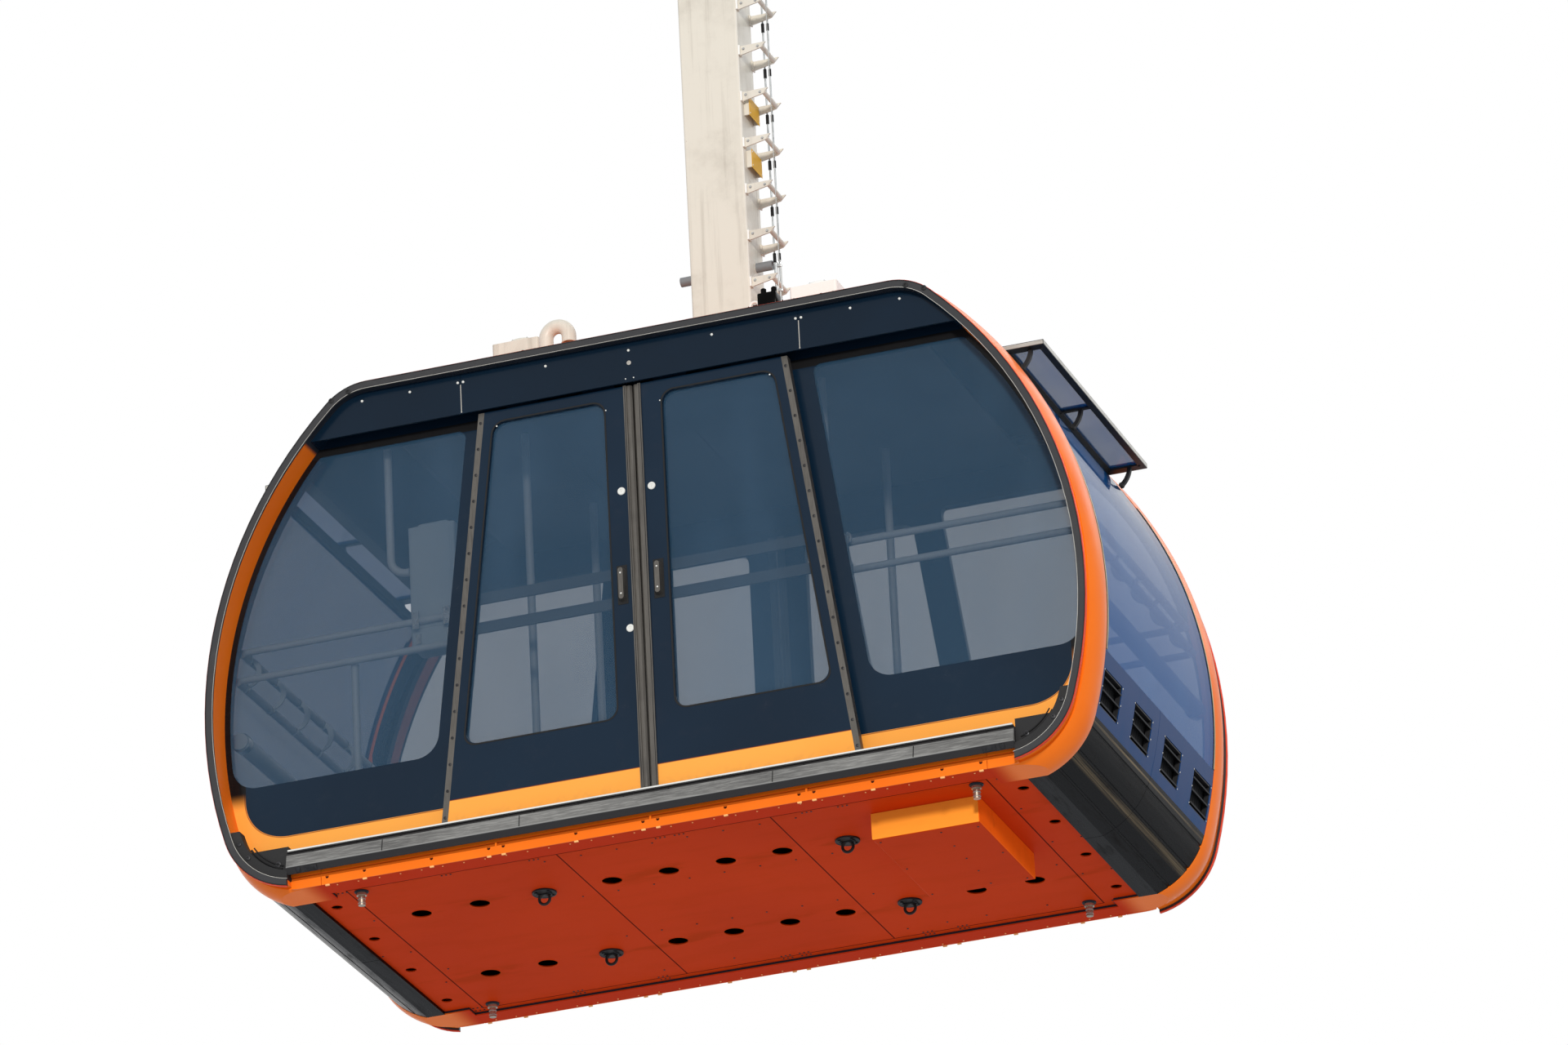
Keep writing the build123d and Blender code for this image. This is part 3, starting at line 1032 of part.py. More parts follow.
# Main beam, its two plates lightened by round holes
beam_half = BEAM["inner"] + BEAM["plate"]
with BuildPart() as main_beam:
    rocker(0, MAIN_PIN_Z, LARGE_PIN_Z, 2 * LARGE_PIVOT_X[1], BEAM, LARGE_PIN_R, PIN_R + RUNNING_FIT)
    hole_z = LARGE_PIN_Z + (MAIN_PIN_Z - LARGE_PIN_Z) / 2
    with Locations(*[Location((hand * BEAM_HOLE_X, 0, hole_z), (90, 0, 0)) for hand in (1, -1)]):
        Cylinder(BEAM_HOLE_R, 2 * beam_half, mode=Mode.SUBTRACT)
save(main_beam, "main_beam")

with BuildPart() as rocker_pins:
    # Columns: places along the rope, height, radius, rocker whose outer faces the pin ends with
    for places, height, radius, sizes in (
            (ROLLER_X, AXLE_Z, AXLE_R, SMALL_ROCKER),
            (SMALL_PIVOT_X, SMALL_PIN_Z, SMALL_PIN_R, LARGE_ROCKER),
            (LARGE_PIVOT_X, LARGE_PIN_Z, LARGE_PIN_R, BEAM)):
        for x in places:
            with Locations(Location((x, 0, height), (90, 0, 0))):
                Cylinder(radius, 2 * (sizes["inner"] + sizes["plate"]))
save(rocker_pins, "rocker_pins")

# Clamps on the beam's side for the haul rope, each a bored block with a tapered socket
with BuildPart() as haul_rope_clamps:
    clamp_y = beam_half + CLAMP_SIZE[1] / 2
    clamp_z = LARGE_PIN_Z + (MAIN_PIN_Z - LARGE_PIN_Z) * (1 - CLAMP_X / LARGE_PIVOT_X[1])
    for hand in (1, -1):
        with Locations((hand * CLAMP_X, clamp_y, clamp_z)):
            Box(*CLAMP_SIZE)
        socket_x = hand * (CLAMP_X + (CLAMP_SIZE[0] + SOCKET_LENGTH) / 2)
        with Locations(Location((socket_x, clamp_y, clamp_z), (0, hand * 90, 0))):
            Cone(SOCKET_R[0], SOCKET_R[1], SOCKET_LENGTH)
        bore_length = CLAMP_SIZE[0] + SOCKET_LENGTH
        with Locations(Location((hand * (CLAMP_X + SOCKET_LENGTH / 2), clamp_y, clamp_z), (0, 90, 0))):
            Cylinder(HAUL_ROPE_R, bore_length, mode=Mode.SUBTRACT)
save(haul_rope_clamps, "haul_rope_clamps")

# Grooved rollers: hub, thin web, rim with a groove for the rope
for index, x in enumerate(ROLLER_X, start=1):
    with BuildPart() as roller:
        with BuildSketch(Plane.YZ.offset(x)):
            half = ROLLER_WIDTH / 2
            web = ROLLER_WEB / 2
            side_points = ((half, 0), (half, ROLLER_HUB_R - ROLLER_DRAFT), (web, ROLLER_HUB_R),
                           (web, ROLLER_RIM_R - ROLLER_DRAFT), (half, ROLLER_RIM_R), (half, FLANGE_R),
                           (ROPE_R + GROOVE_LIP, FLANGE_R), (ROPE_R - GROOVE_FOOT, TREAD_R))
            with BuildLine():
                Polyline(*[(y, AXLE_Z + r) for y, r in side_points],
                         *[(-y, AXLE_Z + r) for y, r in reversed(side_points)], close=True)
            make_face()
        revolve(axis=Axis((x, 0, AXLE_Z), (0, 1, 0)))
        with Locations(Location((x, 0, AXLE_Z), (90, 0, 0))):
            Cylinder(AXLE_R + RUNNING_FIT, ROLLER_WIDTH, mode=Mode.SUBTRACT)
    save(roller, f"roller_{index}")
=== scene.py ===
import bpy
import bmesh
from math import cos, pi, radians, sin
from mathutils import Matrix, Vector


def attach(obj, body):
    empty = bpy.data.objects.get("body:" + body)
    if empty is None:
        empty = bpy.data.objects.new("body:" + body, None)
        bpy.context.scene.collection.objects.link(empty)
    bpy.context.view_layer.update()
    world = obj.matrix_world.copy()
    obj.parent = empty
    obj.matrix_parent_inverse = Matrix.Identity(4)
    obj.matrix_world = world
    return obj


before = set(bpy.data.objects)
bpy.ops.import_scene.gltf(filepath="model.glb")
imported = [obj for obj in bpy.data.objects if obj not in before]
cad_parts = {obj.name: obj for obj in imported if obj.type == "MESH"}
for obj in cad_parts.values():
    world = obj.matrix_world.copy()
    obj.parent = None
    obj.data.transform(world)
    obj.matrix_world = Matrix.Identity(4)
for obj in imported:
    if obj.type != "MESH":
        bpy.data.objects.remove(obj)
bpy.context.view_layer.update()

# Sizes of the cabin in metres, as the CAD model has them; heights count from the floor's underside
FLOOR = -6.8
HALF_WIDTH = 1.104
TOP = 2.457
ROOF = 2.477
BOX_END = 1.475
BOX_BOTTOM = -0.13
SIDES = (("right", -1), ("left", 1))
ENDS = (("front", 1), ("rear", -1))
BOTH = (-1, 1)
UP = (0, 0, 1)
DOWN = (0, 0, -1)
CABIN = "hanger_and_cabin"

# Arcs of the side outline, from the shoulder down: centre x and height, radius, turn in degrees
SHOULDER = (1.305, 2.162, 0.295, 43.5)
END_BOW = (0.0578, 0.847, 2.1072, 63)
CORNER = (1.7235, 0.354, 0.37, 64.7)
BOW_X, BOW_HEIGHT, BOW_R = END_BOW[:3]
CORNER_R = CORNER[2]


def spot(x, y, height):
    return Vector((x, y, FLOOR + height))


def at(side, x, setback, height):
    """Point on a long side, by its distance behind the widest plane."""
    return spot(x, side * (HALF_WIDTH - setback), height)


# Camera at floor level, looking up as in the photograph
camera_data = bpy.data.cameras.new("camera")
camera_data.lens = 211.174
camera_data.sensor_width = 36
camera_data.clip_end = 2000
camera = bpy.data.objects.new("camera", camera_data)
camera.location = (13.0882, -38.1141, -22.1357)
camera.rotation_euler = (radians(113.1737), radians(2.728), radians(19.6166))
bpy.context.scene.collection.objects.link(camera)
bpy.context.scene.camera = camera
bpy.context.scene.view_settings.view_transform = "Standard"


class Level:
    """A socket of a node tree that can be added, scaled and compared."""

    def __init__(self, nodes, socket):
        self.nodes = nodes
        self.socket = socket

    def maths(self, operation, *values):
        return self.nodes.node("Math", {"operation": operation}, dict(enumerate(values)))

    def __add__(self, other):
        return self.maths("ADD", self, other)

    def __sub__(self, other):
        return self.maths("SUBTRACT", self, other)

    def __rsub__(self, other):
        return self.maths("SUBTRACT", other, self)

    def __mul__(self, other):
        return self.maths("MULTIPLY", self, other)

    def __pow__(self, other):
        return self.maths("POWER", self, other)

    def least(self, other):
        return self.maths("MINIMUM", self, other)

    def most(self, other):
        return self.maths("MAXIMUM", self, other)

    def size(self):
        return self.maths("ABSOLUTE", self)

    def wave(self, pace):
        return (self * pace).maths("SINE", self * pace)

    def over(self, low, high):
        """Rises smoothly from 0 to 1 between two values; falls where low is above high."""
        ends = (low, high, 0, 1) if low < high else (high, low, 1, 0)
        inputs = {0: self, **dict(enumerate(ends, 1))}
        return self.nodes.node("MapRange", {"interpolation_type": "SMOOTHSTEP"}, inputs)

    def near(self, place, far, close):
        """1 within the close distance of a place, 0 beyond the far one."""
        return (self - place).size().over(far, close)

    def within(self, low, high, edge):
        """1 between two values, with soft edges inside them."""
        return self.over(low, low + edge) * self.over(high, high - edge)


class Nodes:
    """The node tree of a material or of the world, with one way to add a node to it."""

    def __init__(self, owner):
        owner.use_nodes = True
        self.tree = owner.node_tree

    def node(self, kind, settings=None, inputs=None, out=0):
        made = self.tree.nodes.new("ShaderNode" + kind)
        for name, value in (settings or {}).items():
            setattr(made, name, value)
        for name, value in (inputs or {}).items():
            self.feed(made.inputs[name], value)
        return Level(self, made.outputs[out])

    def feed(self, socket, value):
        if isinstance(value, Level):
            self.tree.links.new(value.socket, socket)
        elif socket.type == "RGBA":
            socket.default_value = (*value, 1)
        else:
            socket.default_value = value

    def blend(self, share, first, second):
        """Colour between two linear colours."""
        return self.node("Mix", {"data_type": "RGBA"}, {0: share, 6: first, 7: second}, out=2)


class Finish(Nodes):
    """A material with one principled surface and short ways to paint, soil and dent it."""

    def __init__(self, name, shine=0.5, **inputs):
        self.material = bpy.data.materials.new(name)
        super().__init__(self.material)
        self.surface = self.tree.nodes["Principled BSDF"]
        self.place = self.node("TexCoord", out="Object")
        self.set(Specular_IOR_Level=shine, **inputs)

    def set(self, **inputs):
        for name, value in inputs.items():
            self.feed(self.surface.inputs[name.replace("_", " ")], value)

    def look(self, share, first, second, roughness, **others):
        """Give the surface a colour between two, its roughness and other inputs."""
        self.set(Base_Color=self.mix(share, first, second), Roughness=roughness, **others)
        return self.material

    def fed(self, name):
        """Level that an input of the surface has so far."""
        return Level(self, self.surface.inputs[name].links[0].from_socket)

    def mix(self, share, first, second):
        """Colour between two, each a level or a paint's red, green and blue in 0 to 255."""
        ends = [colour if isinstance(colour, Level) else srgb(*colour) for colour in (first, second)]
        return self.blend(share, *ends)

    def cloud(self, scale, detail=3, rough=0.5, stretch=None, slant=0):
        """Noise, drawn out along the axes whose stretch is small."""
        place = self.place
        if stretch:
            mapping = {"Vector": place, "Rotation": (0, slant, 0), "Scale": stretch}
            place = self.node("Mapping", None, mapping)
        inputs = {"Vector": place, "Scale": scale, "Detail": detail, "Roughness": rough}
        return self.node("TexNoise", None, inputs)

    def axes(self):
        """Place along and across the cabin, and its height."""
        split = self.tree.nodes.new("ShaderNodeSeparateXYZ")
        self.tree.links.new(self.place.socket, split.inputs[0])
        x, y, z = [Level(self, output) for output in split.outputs]
        return x, y, z - FLOOR

    def dent(self, height, depth, distance):
        """Bump from a height, whose full swing is the distance."""
        bump = self.node("Bump", None, {"Height": height, "Strength": depth, "Distance": distance})
        self.set(Normal=bump)


def srgb(*colour):
    """Linear colour of a paint given in 0 to 255."""
    return [part / 255 / 12.92 if part <= 10 else ((part / 255 + 0.055) / 1.055) ** 2.4 for part in colour]


def side_inset(x, height):
    """Distance inside the cabin's side outline."""
    def inside(arc, across, up):
        return arc[2] - (across * across + up * up) ** 0.5

    bow = inside(END_BOW, x.size() - BOW_X, height - BOW_HEIGHT)
    corner = inside(CORNER, (x.size() - CORNER[0]).most(0), (CORNER[1] - height).most(0))
    top_x = (x.size() - SHOULDER[0]).most(0)
    top_height = height - SHOULDER[1]
    shoulder = inside(SHOULDER, top_x, top_height)
    shoulder_slope = 0.949
    over_top = (top_height * shoulder_slope - top_x).over(0, 0.002)
    return (bow + over_top * (shoulder - bow)).least(corner)


def gloss_paint(name, colour, shade, soil, rough=0.3, coat=0.1, peel=0.2):
    """Sprayed paint: faint orange peel, thin dust, duller where it is soiled."""
    paint = Finish(name, 0.1, Coat_Roughness=0.12)
    drift = paint.cloud(1.3, 4).over(0.35, 0.7)
    film = paint.cloud(9, 6, 0.62).over(0.45, 0.75) * soil
    paint.dent(paint.cloud(420, 1), peel, 0.0004)
    paint.look(film, paint.mix(drift * 0.35, colour, shade), shade,
               film * 0.5 + paint.cloud(60, 2) * 0.06 + rough, Coat_Weight=(1 - film) * coat)
    return paint


def orange_paint():
    """Ring and roof: painted shade, dark inside and above the doors, dark in the rail's groove and slots, and
    red under the foot rail like the shaded underside.
    """
    paint = gloss_paint("orange_gloss_paint", (255, 124, 26), (238, 98, 16), soil=0.12, coat=0.05)
    x, y, height = paint.axes()
    along, across = x.size(), y.size()
    inset = side_inset(x, height)
    # painted shade: the ring's inner faces and the reveal above the doors are painted dark blue-grey
    inside = across.over(0.946, 0.942) * inset.over(0.004, 0.006)
    shade_above_doors = height.over(2.19, 2.21) * inset.over(0.024, 0.028)
    on_rail = along.over(1.632, 1.628)
    # painted shade: the faces behind the rail's front plate, its groove and its slots are painted dark
    # red-brown
    groove_back = across.over(1.035, 1.0335)
    behind_plate = across.over(1.032, 1.0305) * height.within(0.0165, 0.0605, 0.001) * on_rail
    groove = groove_back * height.within(0.025, 0.047, 0.002) * along.over(1.785, 1.78)
    slots = groove_back * height.within(0.0105, 0.0262, 0.0015) * on_rail
    # painted shade: under the foot rail the orange is painted the darker red of the shaded underside, fading
    # back to orange at the rail's front edge
    under_rail_shade = across.over(1.0405, 1.032) * height.over(-0.006, -0.015) * along.over(1.755, 1.63)
    painted = paint.mix(under_rail_shade, paint.fed("Base Color"), (206, 50, 0))
    shaded = paint.mix((behind_plate + groove * 0.5 + slots).least(1), painted, (60, 18, 6))
    return paint.look(inside.most(shade_above_doors), shaded, (38, 42, 50),
                      paint.fed("Roughness") + under_rail_shade * 0.4,
                      Coat_Weight=paint.fed("Coat Weight") * (1 - under_rail_shade))


def underside_paint():
    """Orange floor tray: painted a darker red as shade, the box's flanks painted lighter as sunlit and its
    end less so; dusty, stained beside the drain holes, darker at the rim and in the seams.
    """
    paint = Finish("orange_underside", 0.03)
    x, y, height = paint.axes()
    along, across = x.size(), y.size()
    drift = paint.cloud(0.9, 5).over(0.3, 0.75)
    dust = paint.cloud(14, 8, 0.68).over(0.5, 0.8)
    row = across.near(0.445, 0.1, 0.03)
    stain = paint.cloud(5, 6, stretch=(0.5, 1.6, 1)).over(0.48, 0.62) * (row * 0.6 + 0.15)
    rim = across.over(0.8, 0.92) * paint.cloud(22).over(0.4, 0.6) * 0.4
    dirt = (stain + rim + dust * 0.18).least(1)
    # painted shade: the tray's orange is a darker red than the ring's, as the underside looks in shade
    tone_with_painted_light = paint.mix(drift * 0.4, (214, 62, 8), (188, 48, 8))
    # painted light: the box's flanks are painted a pale sunlit orange, its end face a less lit orange
    painted_lit_flank = height.over(-0.1285, -0.127) * height.over(-0.001, -0.003)
    end = x.over(BOX_END - 0.0045, BOX_END - 0.003)
    tone_with_painted_light = paint.mix(painted_lit_flank, tone_with_painted_light, paint.mix(end, (255, 158, 52), (255, 104, 16)))
    line = (0.0045, 0.0025)
    across_seams = (along - 0.525).size().least((along - 1.571).size()).over(*line)
    long_seams = across.near(0.879, *line) * along.over(1.574, 1.572)
    seams = (across_seams * across.over(0.882, 0.88)).most(long_seams) * height.over(-0.01, -0.005)
    colour = paint.mix(dirt * 0.4, tone_with_painted_light, (150, 60, 24))
    paint.dent(paint.cloud(2.2, 2) + paint.cloud(300, 1) * 0.05, 0.25, 0.004)
    return paint.look(seams * 0.8, colour, (70, 14, 8), dirt * 0.2 + 0.55)


def side_paint(name):
    """Start of the walls' and leaves' paint: the finish, its navy and its orange, painted paler than the
    ring's as if in sun, its dust.
    """
    paint = Finish(name, 0.12, Coat_Roughness=0.08)
    lift = paint.cloud(1.1).over(0.3, 0.7)
    navy = paint.mix(lift * 0.4, (12, 31, 48), (18, 42, 62))
    # painted light: a paler, sunlit-looking copy of the ring's orange
    orange = paint.mix(lift * 0.3, (255, 172, 74), (250, 156, 58))
    paint.dent(paint.cloud(380, 1), 0.12, 0.0004)
    return paint, navy, orange, paint.cloud(11, 7, 0.65).over(0.5, 0.8)


def wall_paint():
    """Fixed walls: navy panel with round lower corners in an orange field, black above as painted shadow
    under the header, and black at the seal.
    """
    paint, navy, orange, dust = side_paint("navy_and_orange_wall")
    x, y, height = paint.axes()
    inset = side_inset(x, height)
    radius = 0.2
    near_x = (radius - (inset - 0.058)).most(0)
    near_foot = (radius - (height - 0.297)).most(0)
    reach = (near_x * near_x + near_foot * near_foot) ** 0.5
    panel = reach.over(radius + 0.001, radius - 0.001)
    line = reach.near(radius + 0.004, 0.004, 0.001)
    shadow = height.over(2.172, 2.176)
    seal = height.over(0.45, 0.55) * inset.over(0.062, 0.058)
    # painted light: the orange field round the panel is the pale sunlit-looking orange
    colour = paint.mix(line * 0.7, paint.mix(panel, orange, navy), (120, 30, 12))
    colour = paint.mix(shadow.most(seal), colour, (14, 14, 16))
    return paint.look(dust * 0.012, colour, (150, 140, 128), dust * 0.1 + shadow * 0.4 + 0.2,
                      Coat_Weight=(1 - shadow) * 0.1)


def leaf_paint():
    """Door leaf: navy frame flush with its glass, orange foot."""
    paint, navy, orange, dust = side_paint("navy_and_orange_leaf")
    height = paint.axes()[2]
    foot = height.over(0.2965, 0.2945)
    line = height.near(0.2955, 0.004, 0.001)
    wear = height.over(0.26, 0.16) * paint.cloud(30, 5).over(0.45, 0.65) * 0.3
    # painted light: the foot is the pale sunlit-looking orange
    colour = paint.mix(line * 0.6, paint.mix(foot, navy, orange), (120, 30, 12))
    soil = (dust * 0.012 + wear * 0.5).least(1)
    return paint.look(soil, colour, (150, 110, 80), dust * 0.1 + wear * 0.3 + 0.2,
                      Coat_Weight=(1 - wear) * 0.1)


def end_panel_paint():
    """Lower end panels: blue navy, dust settled along the lower edge and under the vents."""
    paint = Finish("blue_navy_panel", 0.06)
    low = paint.axes()[2].over(0.36, 0.24)
    film = paint.cloud(8, 7, 0.66, stretch=(1, 1, 0.4)).over(0.42, 0.78) * (low * 0.3 + 0.12)
    paint.dent(paint.cloud(350, 1), 0.12, 0.0004)
    return paint.look(film, (2, 54, 106), (48, 88, 126), film * 0.5 + 0.3)


def tinted_glass(name, tint, wiped, density, shine=0.28):
    """Blue-grey pane, clear enough for the rails and poles behind it, with wiped marks."""
    glass = Finish(name, shine)
    smear = glass.cloud(2.4, 5, stretch=(1, 1, 0.35)).over(0.46, 0.72)
    speck = glass.cloud(160, 2).over(0.66, 0.74)
    return glass.look(smear * 0.3, tint, wiped, smear * 0.04 + speck * 0.06 + 0.03,
                      Alpha=smear * 0.03 + speck * 0.02 + density)


def satin_plastic(name, colour, worn, rough=0.5):
    plastic = Finish(name, 0.3)
    fine = plastic.cloud(260, 2)
    scuff = plastic.cloud(7, 8, 0.7).over(0.5, 0.78)
    plastic.dent(fine, 0.35, 0.0006)
    return plastic.look(scuff * 0.45, colour, worn, scuff * 0.2 + fine * 0.1 + rough)


def gloss_black():
    """Black corner covers: polished, with long faint ripples, two painted glints and dust low down."""
    cover = Finish("gloss_black_cover", 0.05)
    height = cover.axes()[2]
    hair = cover.cloud(4, 4, 0.7, stretch=(1, 0.25, 40)).over(0.35, 0.65)
    # painted highlight: two gold-brown glint lines along the covers' folds
    painted_glint = (height.near(0.062, 0.018, 0.004) * 0.5 + height.near(0.212, 0.007, 0.001) * 0.7) * hair
    dust = cover.cloud(10, 7, 0.65, stretch=(3, 0.4, 3)).over(0.48, 0.8)
    black = cover.mix(dust * 0.2, (4, 4, 4), (36, 28, 20))
    cover.dent(cover.cloud(1.5, 3, stretch=(9, 0.35, 9)), 0.5, 0.006)
    return cover.look(painted_glint, black, (150, 130, 98), dust * 0.3 + 0.26)


def lengthwise_metal(name, bright, dull, rough, metal=0.85, lines=(1.2, 90, 90)):
    """Metal drawn or brushed one way: long fine lines and worn patches."""
    sheet = Finish(name)
    hair = sheet.cloud(6, 4, 0.7, stretch=lines)
    patch = sheet.cloud(3.2, 6, stretch=(0.5, 2, 2)).over(0.4, 0.7)
    sheet.dent(hair, 0.25, 0.0005)
    return sheet.look(hair.over(0.35, 0.65) * 0.6 + patch * 0.35, bright, dull,
                      hair * 0.25 + patch * 0.12 + rough - 0.1, Metallic=metal - patch * 0.3)


def bumper_finish():
    """Bumper: upper face rubbed grey with slanting scratches and painted lighter as lit, a painted highlight
    along the nose, the rest dark.
    """
    moulding = Finish("rubbed_and_lit_bumper", 0.3)
    x, y, height = moulding.axes()
    upper = height.within(0.072, 0.14, 0.004)
    front = y.size().over(1.08, 1.088)
    # painted highlight: a bright line along the bumper's nose
    nose = height.near(0.0755, 0.005, 0.001) * front
    hair = moulding.cloud(1, 5, 0.7, stretch=(9, 1, 130), slant=0.7).over(0.42, 0.66)
    patch = moulding.cloud(3, 6, 0.6, stretch=(0.6, 1, 2)).over(0.35, 0.65)
    # partly scratches, partly painted light: the whole upper front face is painted a lighter grey
    rub = upper * front * (hair * 0.4 + patch * 0.3 + 0.3)
    colour = moulding.mix(rub, (40, 39, 40), (150, 149, 145))
    moulding.dent(hair * upper, 0.2, 0.0006)
    return moulding.look(nose * 0.6, colour, (150, 150, 148), 0.55 - rub * 0.15)


def cream_paint():
    """Old cream paint on the hanger: rain streaks, soil, rust spots; one corner painted pale as a highlight,
    one stub grey.
    """
    paint = Finish("weathered_cream_paint", Coat_Roughness=0.3)
    x, y, height = paint.axes()
    # painted highlight: the arm's corner edge is painted near white
    corner = x.over(0.1465, 0.1505) * y.over(0.3365, 0.3325) * height.over(2.7, 2.72)
    stub = x.size().over(0.153, 0.154) * height.near(3.4, 0.028, 0.026)
    run = paint.cloud(5, 6, 0.62, stretch=(5, 5, 0.22)).over(0.5, 0.78)
    soil = paint.cloud(2.2, 8, 0.7).over(0.46, 0.74)
    rust = paint.cloud(24, 4, 0.6).over(0.7, 0.76)
    colour = paint.mix((run * 0.5 + soil * 0.4).least(1), (222, 216, 202), (168, 160, 146))
    colour = paint.mix(corner, colour, (246, 244, 238))
    colour = paint.mix(stub, colour, (122, 124, 126))
    paint.dent(paint.cloud(30, 5) + paint.cloud(260, 1) * 0.3, 0.25, 0.001)
    return paint.look(rust * 0.6, colour, (132, 84, 52), run * 0.15 + soil * 0.15 + rust * 0.2 + 0.42,
                      Coat_Weight=(1 - soil) * 0.15)


def zinc(name, pale, grey, rough=0.42):
    """Galvanised steel: faint flakes of different greys, duller spots."""
    steel = Finish(name)
    flake = steel.node("TexVoronoi", {"feature": "F1"}, {"Vector": steel.place, "Scale": 55}, out="Color")
    flake = steel.node("SeparateColor", None, {0: flake})
    dull = steel.cloud(4, 7, 0.66).over(0.45, 0.75)
    steel.dent(steel.cloud(90), 0.25, 0.0005)
    return steel.look(flake * 0.5 + dull * 0.4, pale, grey, flake * 0.12 + dull * 0.2 + rough - 0.08,
                      Metallic=0.95 - dull * 0.35)


def fittings_metal():
    """Blackened tie-down cups in the floor, brassy steel feet at its edges."""
    steel = Finish("floor_fittings_metal", 0.3)
    foot = steel.axes()[1].size().over(0.7, 0.72)
    wear = steel.cloud(14, 6, 0.66).over(0.45, 0.7)
    dark = steel.mix(wear * 0.5, (40, 38, 38), (84, 74, 66))
    bright = steel.mix(wear * 0.6, (190, 182, 166), (126, 112, 92))
    steel.dent(steel.cloud(120), 0.3, 0.0004)
    return steel.look(foot, dark, bright, 0.5 - foot * 0.15 + wear * 0.15, Metallic=foot * 0.5 + 0.4)


def turned_steel():
    steel = Finish("turned_bright_steel")
    fine = steel.cloud(140, stretch=(0.2, 6, 0.2))
    stain = steel.cloud(16, 6, 0.7).over(0.55, 0.75)
    steel.dent(fine, 0.3, 0.0003)
    return steel.look(stain * 0.5, (186, 186, 184), (116, 104, 92), fine * 0.12 + stain * 0.3 + 0.2,
                      Metallic=1 - stain * 0.4)


def studded_rubber():
    """Floor covering: rows of round studs, grey dust between them."""
    floor = Finish("studded_floor_rubber", 0.2)
    x, y, height = floor.axes()
    stud = (x.wave(240) * y.wave(240)).size().over(0.35, 0.6)
    dust = floor.cloud(5, 8, 0.7).over(0.4, 0.75)
    floor.dent(stud, 0.8, 0.0015)
    return floor.look((1 - stud) * dust, (52, 53, 56), (104, 98, 90), dust * 0.2 + 0.6)


def ceiling_panel():
    """Dark ceiling lining with panel joints across the cabin."""
    lining = Finish("dark_ceiling_lining")
    joint = lining.axes()[0].wave(pi / 0.65).size().over(0.02, 0.008)
    soil = lining.cloud(3, 7, 0.66).over(0.4, 0.75)
    base = lining.mix(soil * 0.4, (62, 66, 70), (44, 46, 50))
    lining.dent(lining.cloud(240, 2) - joint * 2, 0.4, 0.0006)
    return lining.look(joint, base, (20, 20, 22), soil * 0.15 + 0.5)


def powder_coat(name, colour, shade, rough=0.38):
    """Powder coat on tubes and boxes: fine pebbled skin, rubbed brighter in places."""
    coat = Finish(name)
    pebble = coat.cloud(340, 2)
    rub = coat.cloud(4, 6, 0.66).over(0.45, 0.75)
    coat.dent(pebble, 0.3, 0.0004)
    return coat.look(rub * 0.5, colour, shade, rough - rub * 0.12 + pebble * 0.06)


def roller_steel():
    """Roller: dark greased web, tread and groove polished by the rope."""
    steel = Finish("worn_roller_steel")
    grease = steel.cloud(12, 7, 0.68).over(0.42, 0.7)
    steel.dent(steel.cloud(70, 4), 0.35, 0.0008)
    return steel.look(grease, (120, 122, 126), (46, 44, 42), grease * 0.25 + 0.3, Metallic=0.9 - grease * 0.5)


ORANGE = orange_paint()
UNDERSIDE = underside_paint()
WALL = wall_paint()
LEAF = leaf_paint()
NAVY = gloss_paint("navy_gloss_paint", (10, 27, 42), (15, 37, 56), soil=0.08, rough=0.2, peel=0.12).material
END_PANEL = end_panel_paint()
GLASS = tinted_glass("tinted_glass", (50, 82, 108), (72, 104, 132), 0.4)
END_GLASS = tinted_glass("blue_end_glass", (20, 98, 166), (52, 124, 184), 0.62, 0.08)
BAND = satin_plastic("charcoal_band", (50, 50, 52), (74, 73, 73), 0.45)
BLACK_FRAME = satin_plastic("black_frame", (24, 24, 26), (56, 55, 54), 0.38)
BLACK_PLASTIC = satin_plastic("black_moulding", (28, 28, 29), (66, 64, 62), 0.55)
RUBBER = satin_plastic("black_rubber", (22, 22, 23), (50, 49, 48), 0.7)
COVER = gloss_black()
BUMPER = bumper_finish()
TRIM = lengthwise_metal("brushed_trim", (104, 101, 96), (66, 62, 58), 0.4, 0.75, (90, 90, 1.2))
EDGE_METAL = lengthwise_metal("bright_edge_metal", (196, 194, 188), (150, 146, 138), 0.34)
CREAM = cream_paint()
STEEL = turned_steel()
ZINC = zinc("galvanised_steel", (172, 176, 178), (112, 116, 118))
ROLLER = roller_steel()
FLOOR_RUBBER = studded_rubber()
CEILING = ceiling_panel()
RAIL = powder_coat("rail_grey_coat", (186, 190, 192), (206, 208, 208))
BOX_GREY = powder_coat("box_grey_coat", (176, 184, 188), (192, 198, 200), 0.45)
WHITE = powder_coat("white_fastener_coat", (226, 226, 220), (196, 194, 186), 0.4)
YELLOW = satin_plastic("yellow_plate", (222, 168, 34), (186, 138, 40), 0.45)
SEALANT = satin_plastic("pale_sealant", (176, 172, 164), (128, 124, 118))
# painted highlight: pale orange standing in for the sun catching the drain lips
LIP_HIGHLIGHT_ORANGE = satin_plastic("pale_orange_lip_highlight", (255, 186, 116), (236, 140, 70), 0.45)
BRASS = lengthwise_metal("dull_brass_strip", (186, 172, 132), (120, 108, 84), 0.4, 0.6)
RED_EDGE = satin_plastic("red_edge_trim", (232, 66, 22), (196, 50, 18), 0.45)
DARK_METAL = zinc("blackened_steel", (66, 66, 68), (30, 30, 32), 0.5)
FITTINGS = fittings_metal()

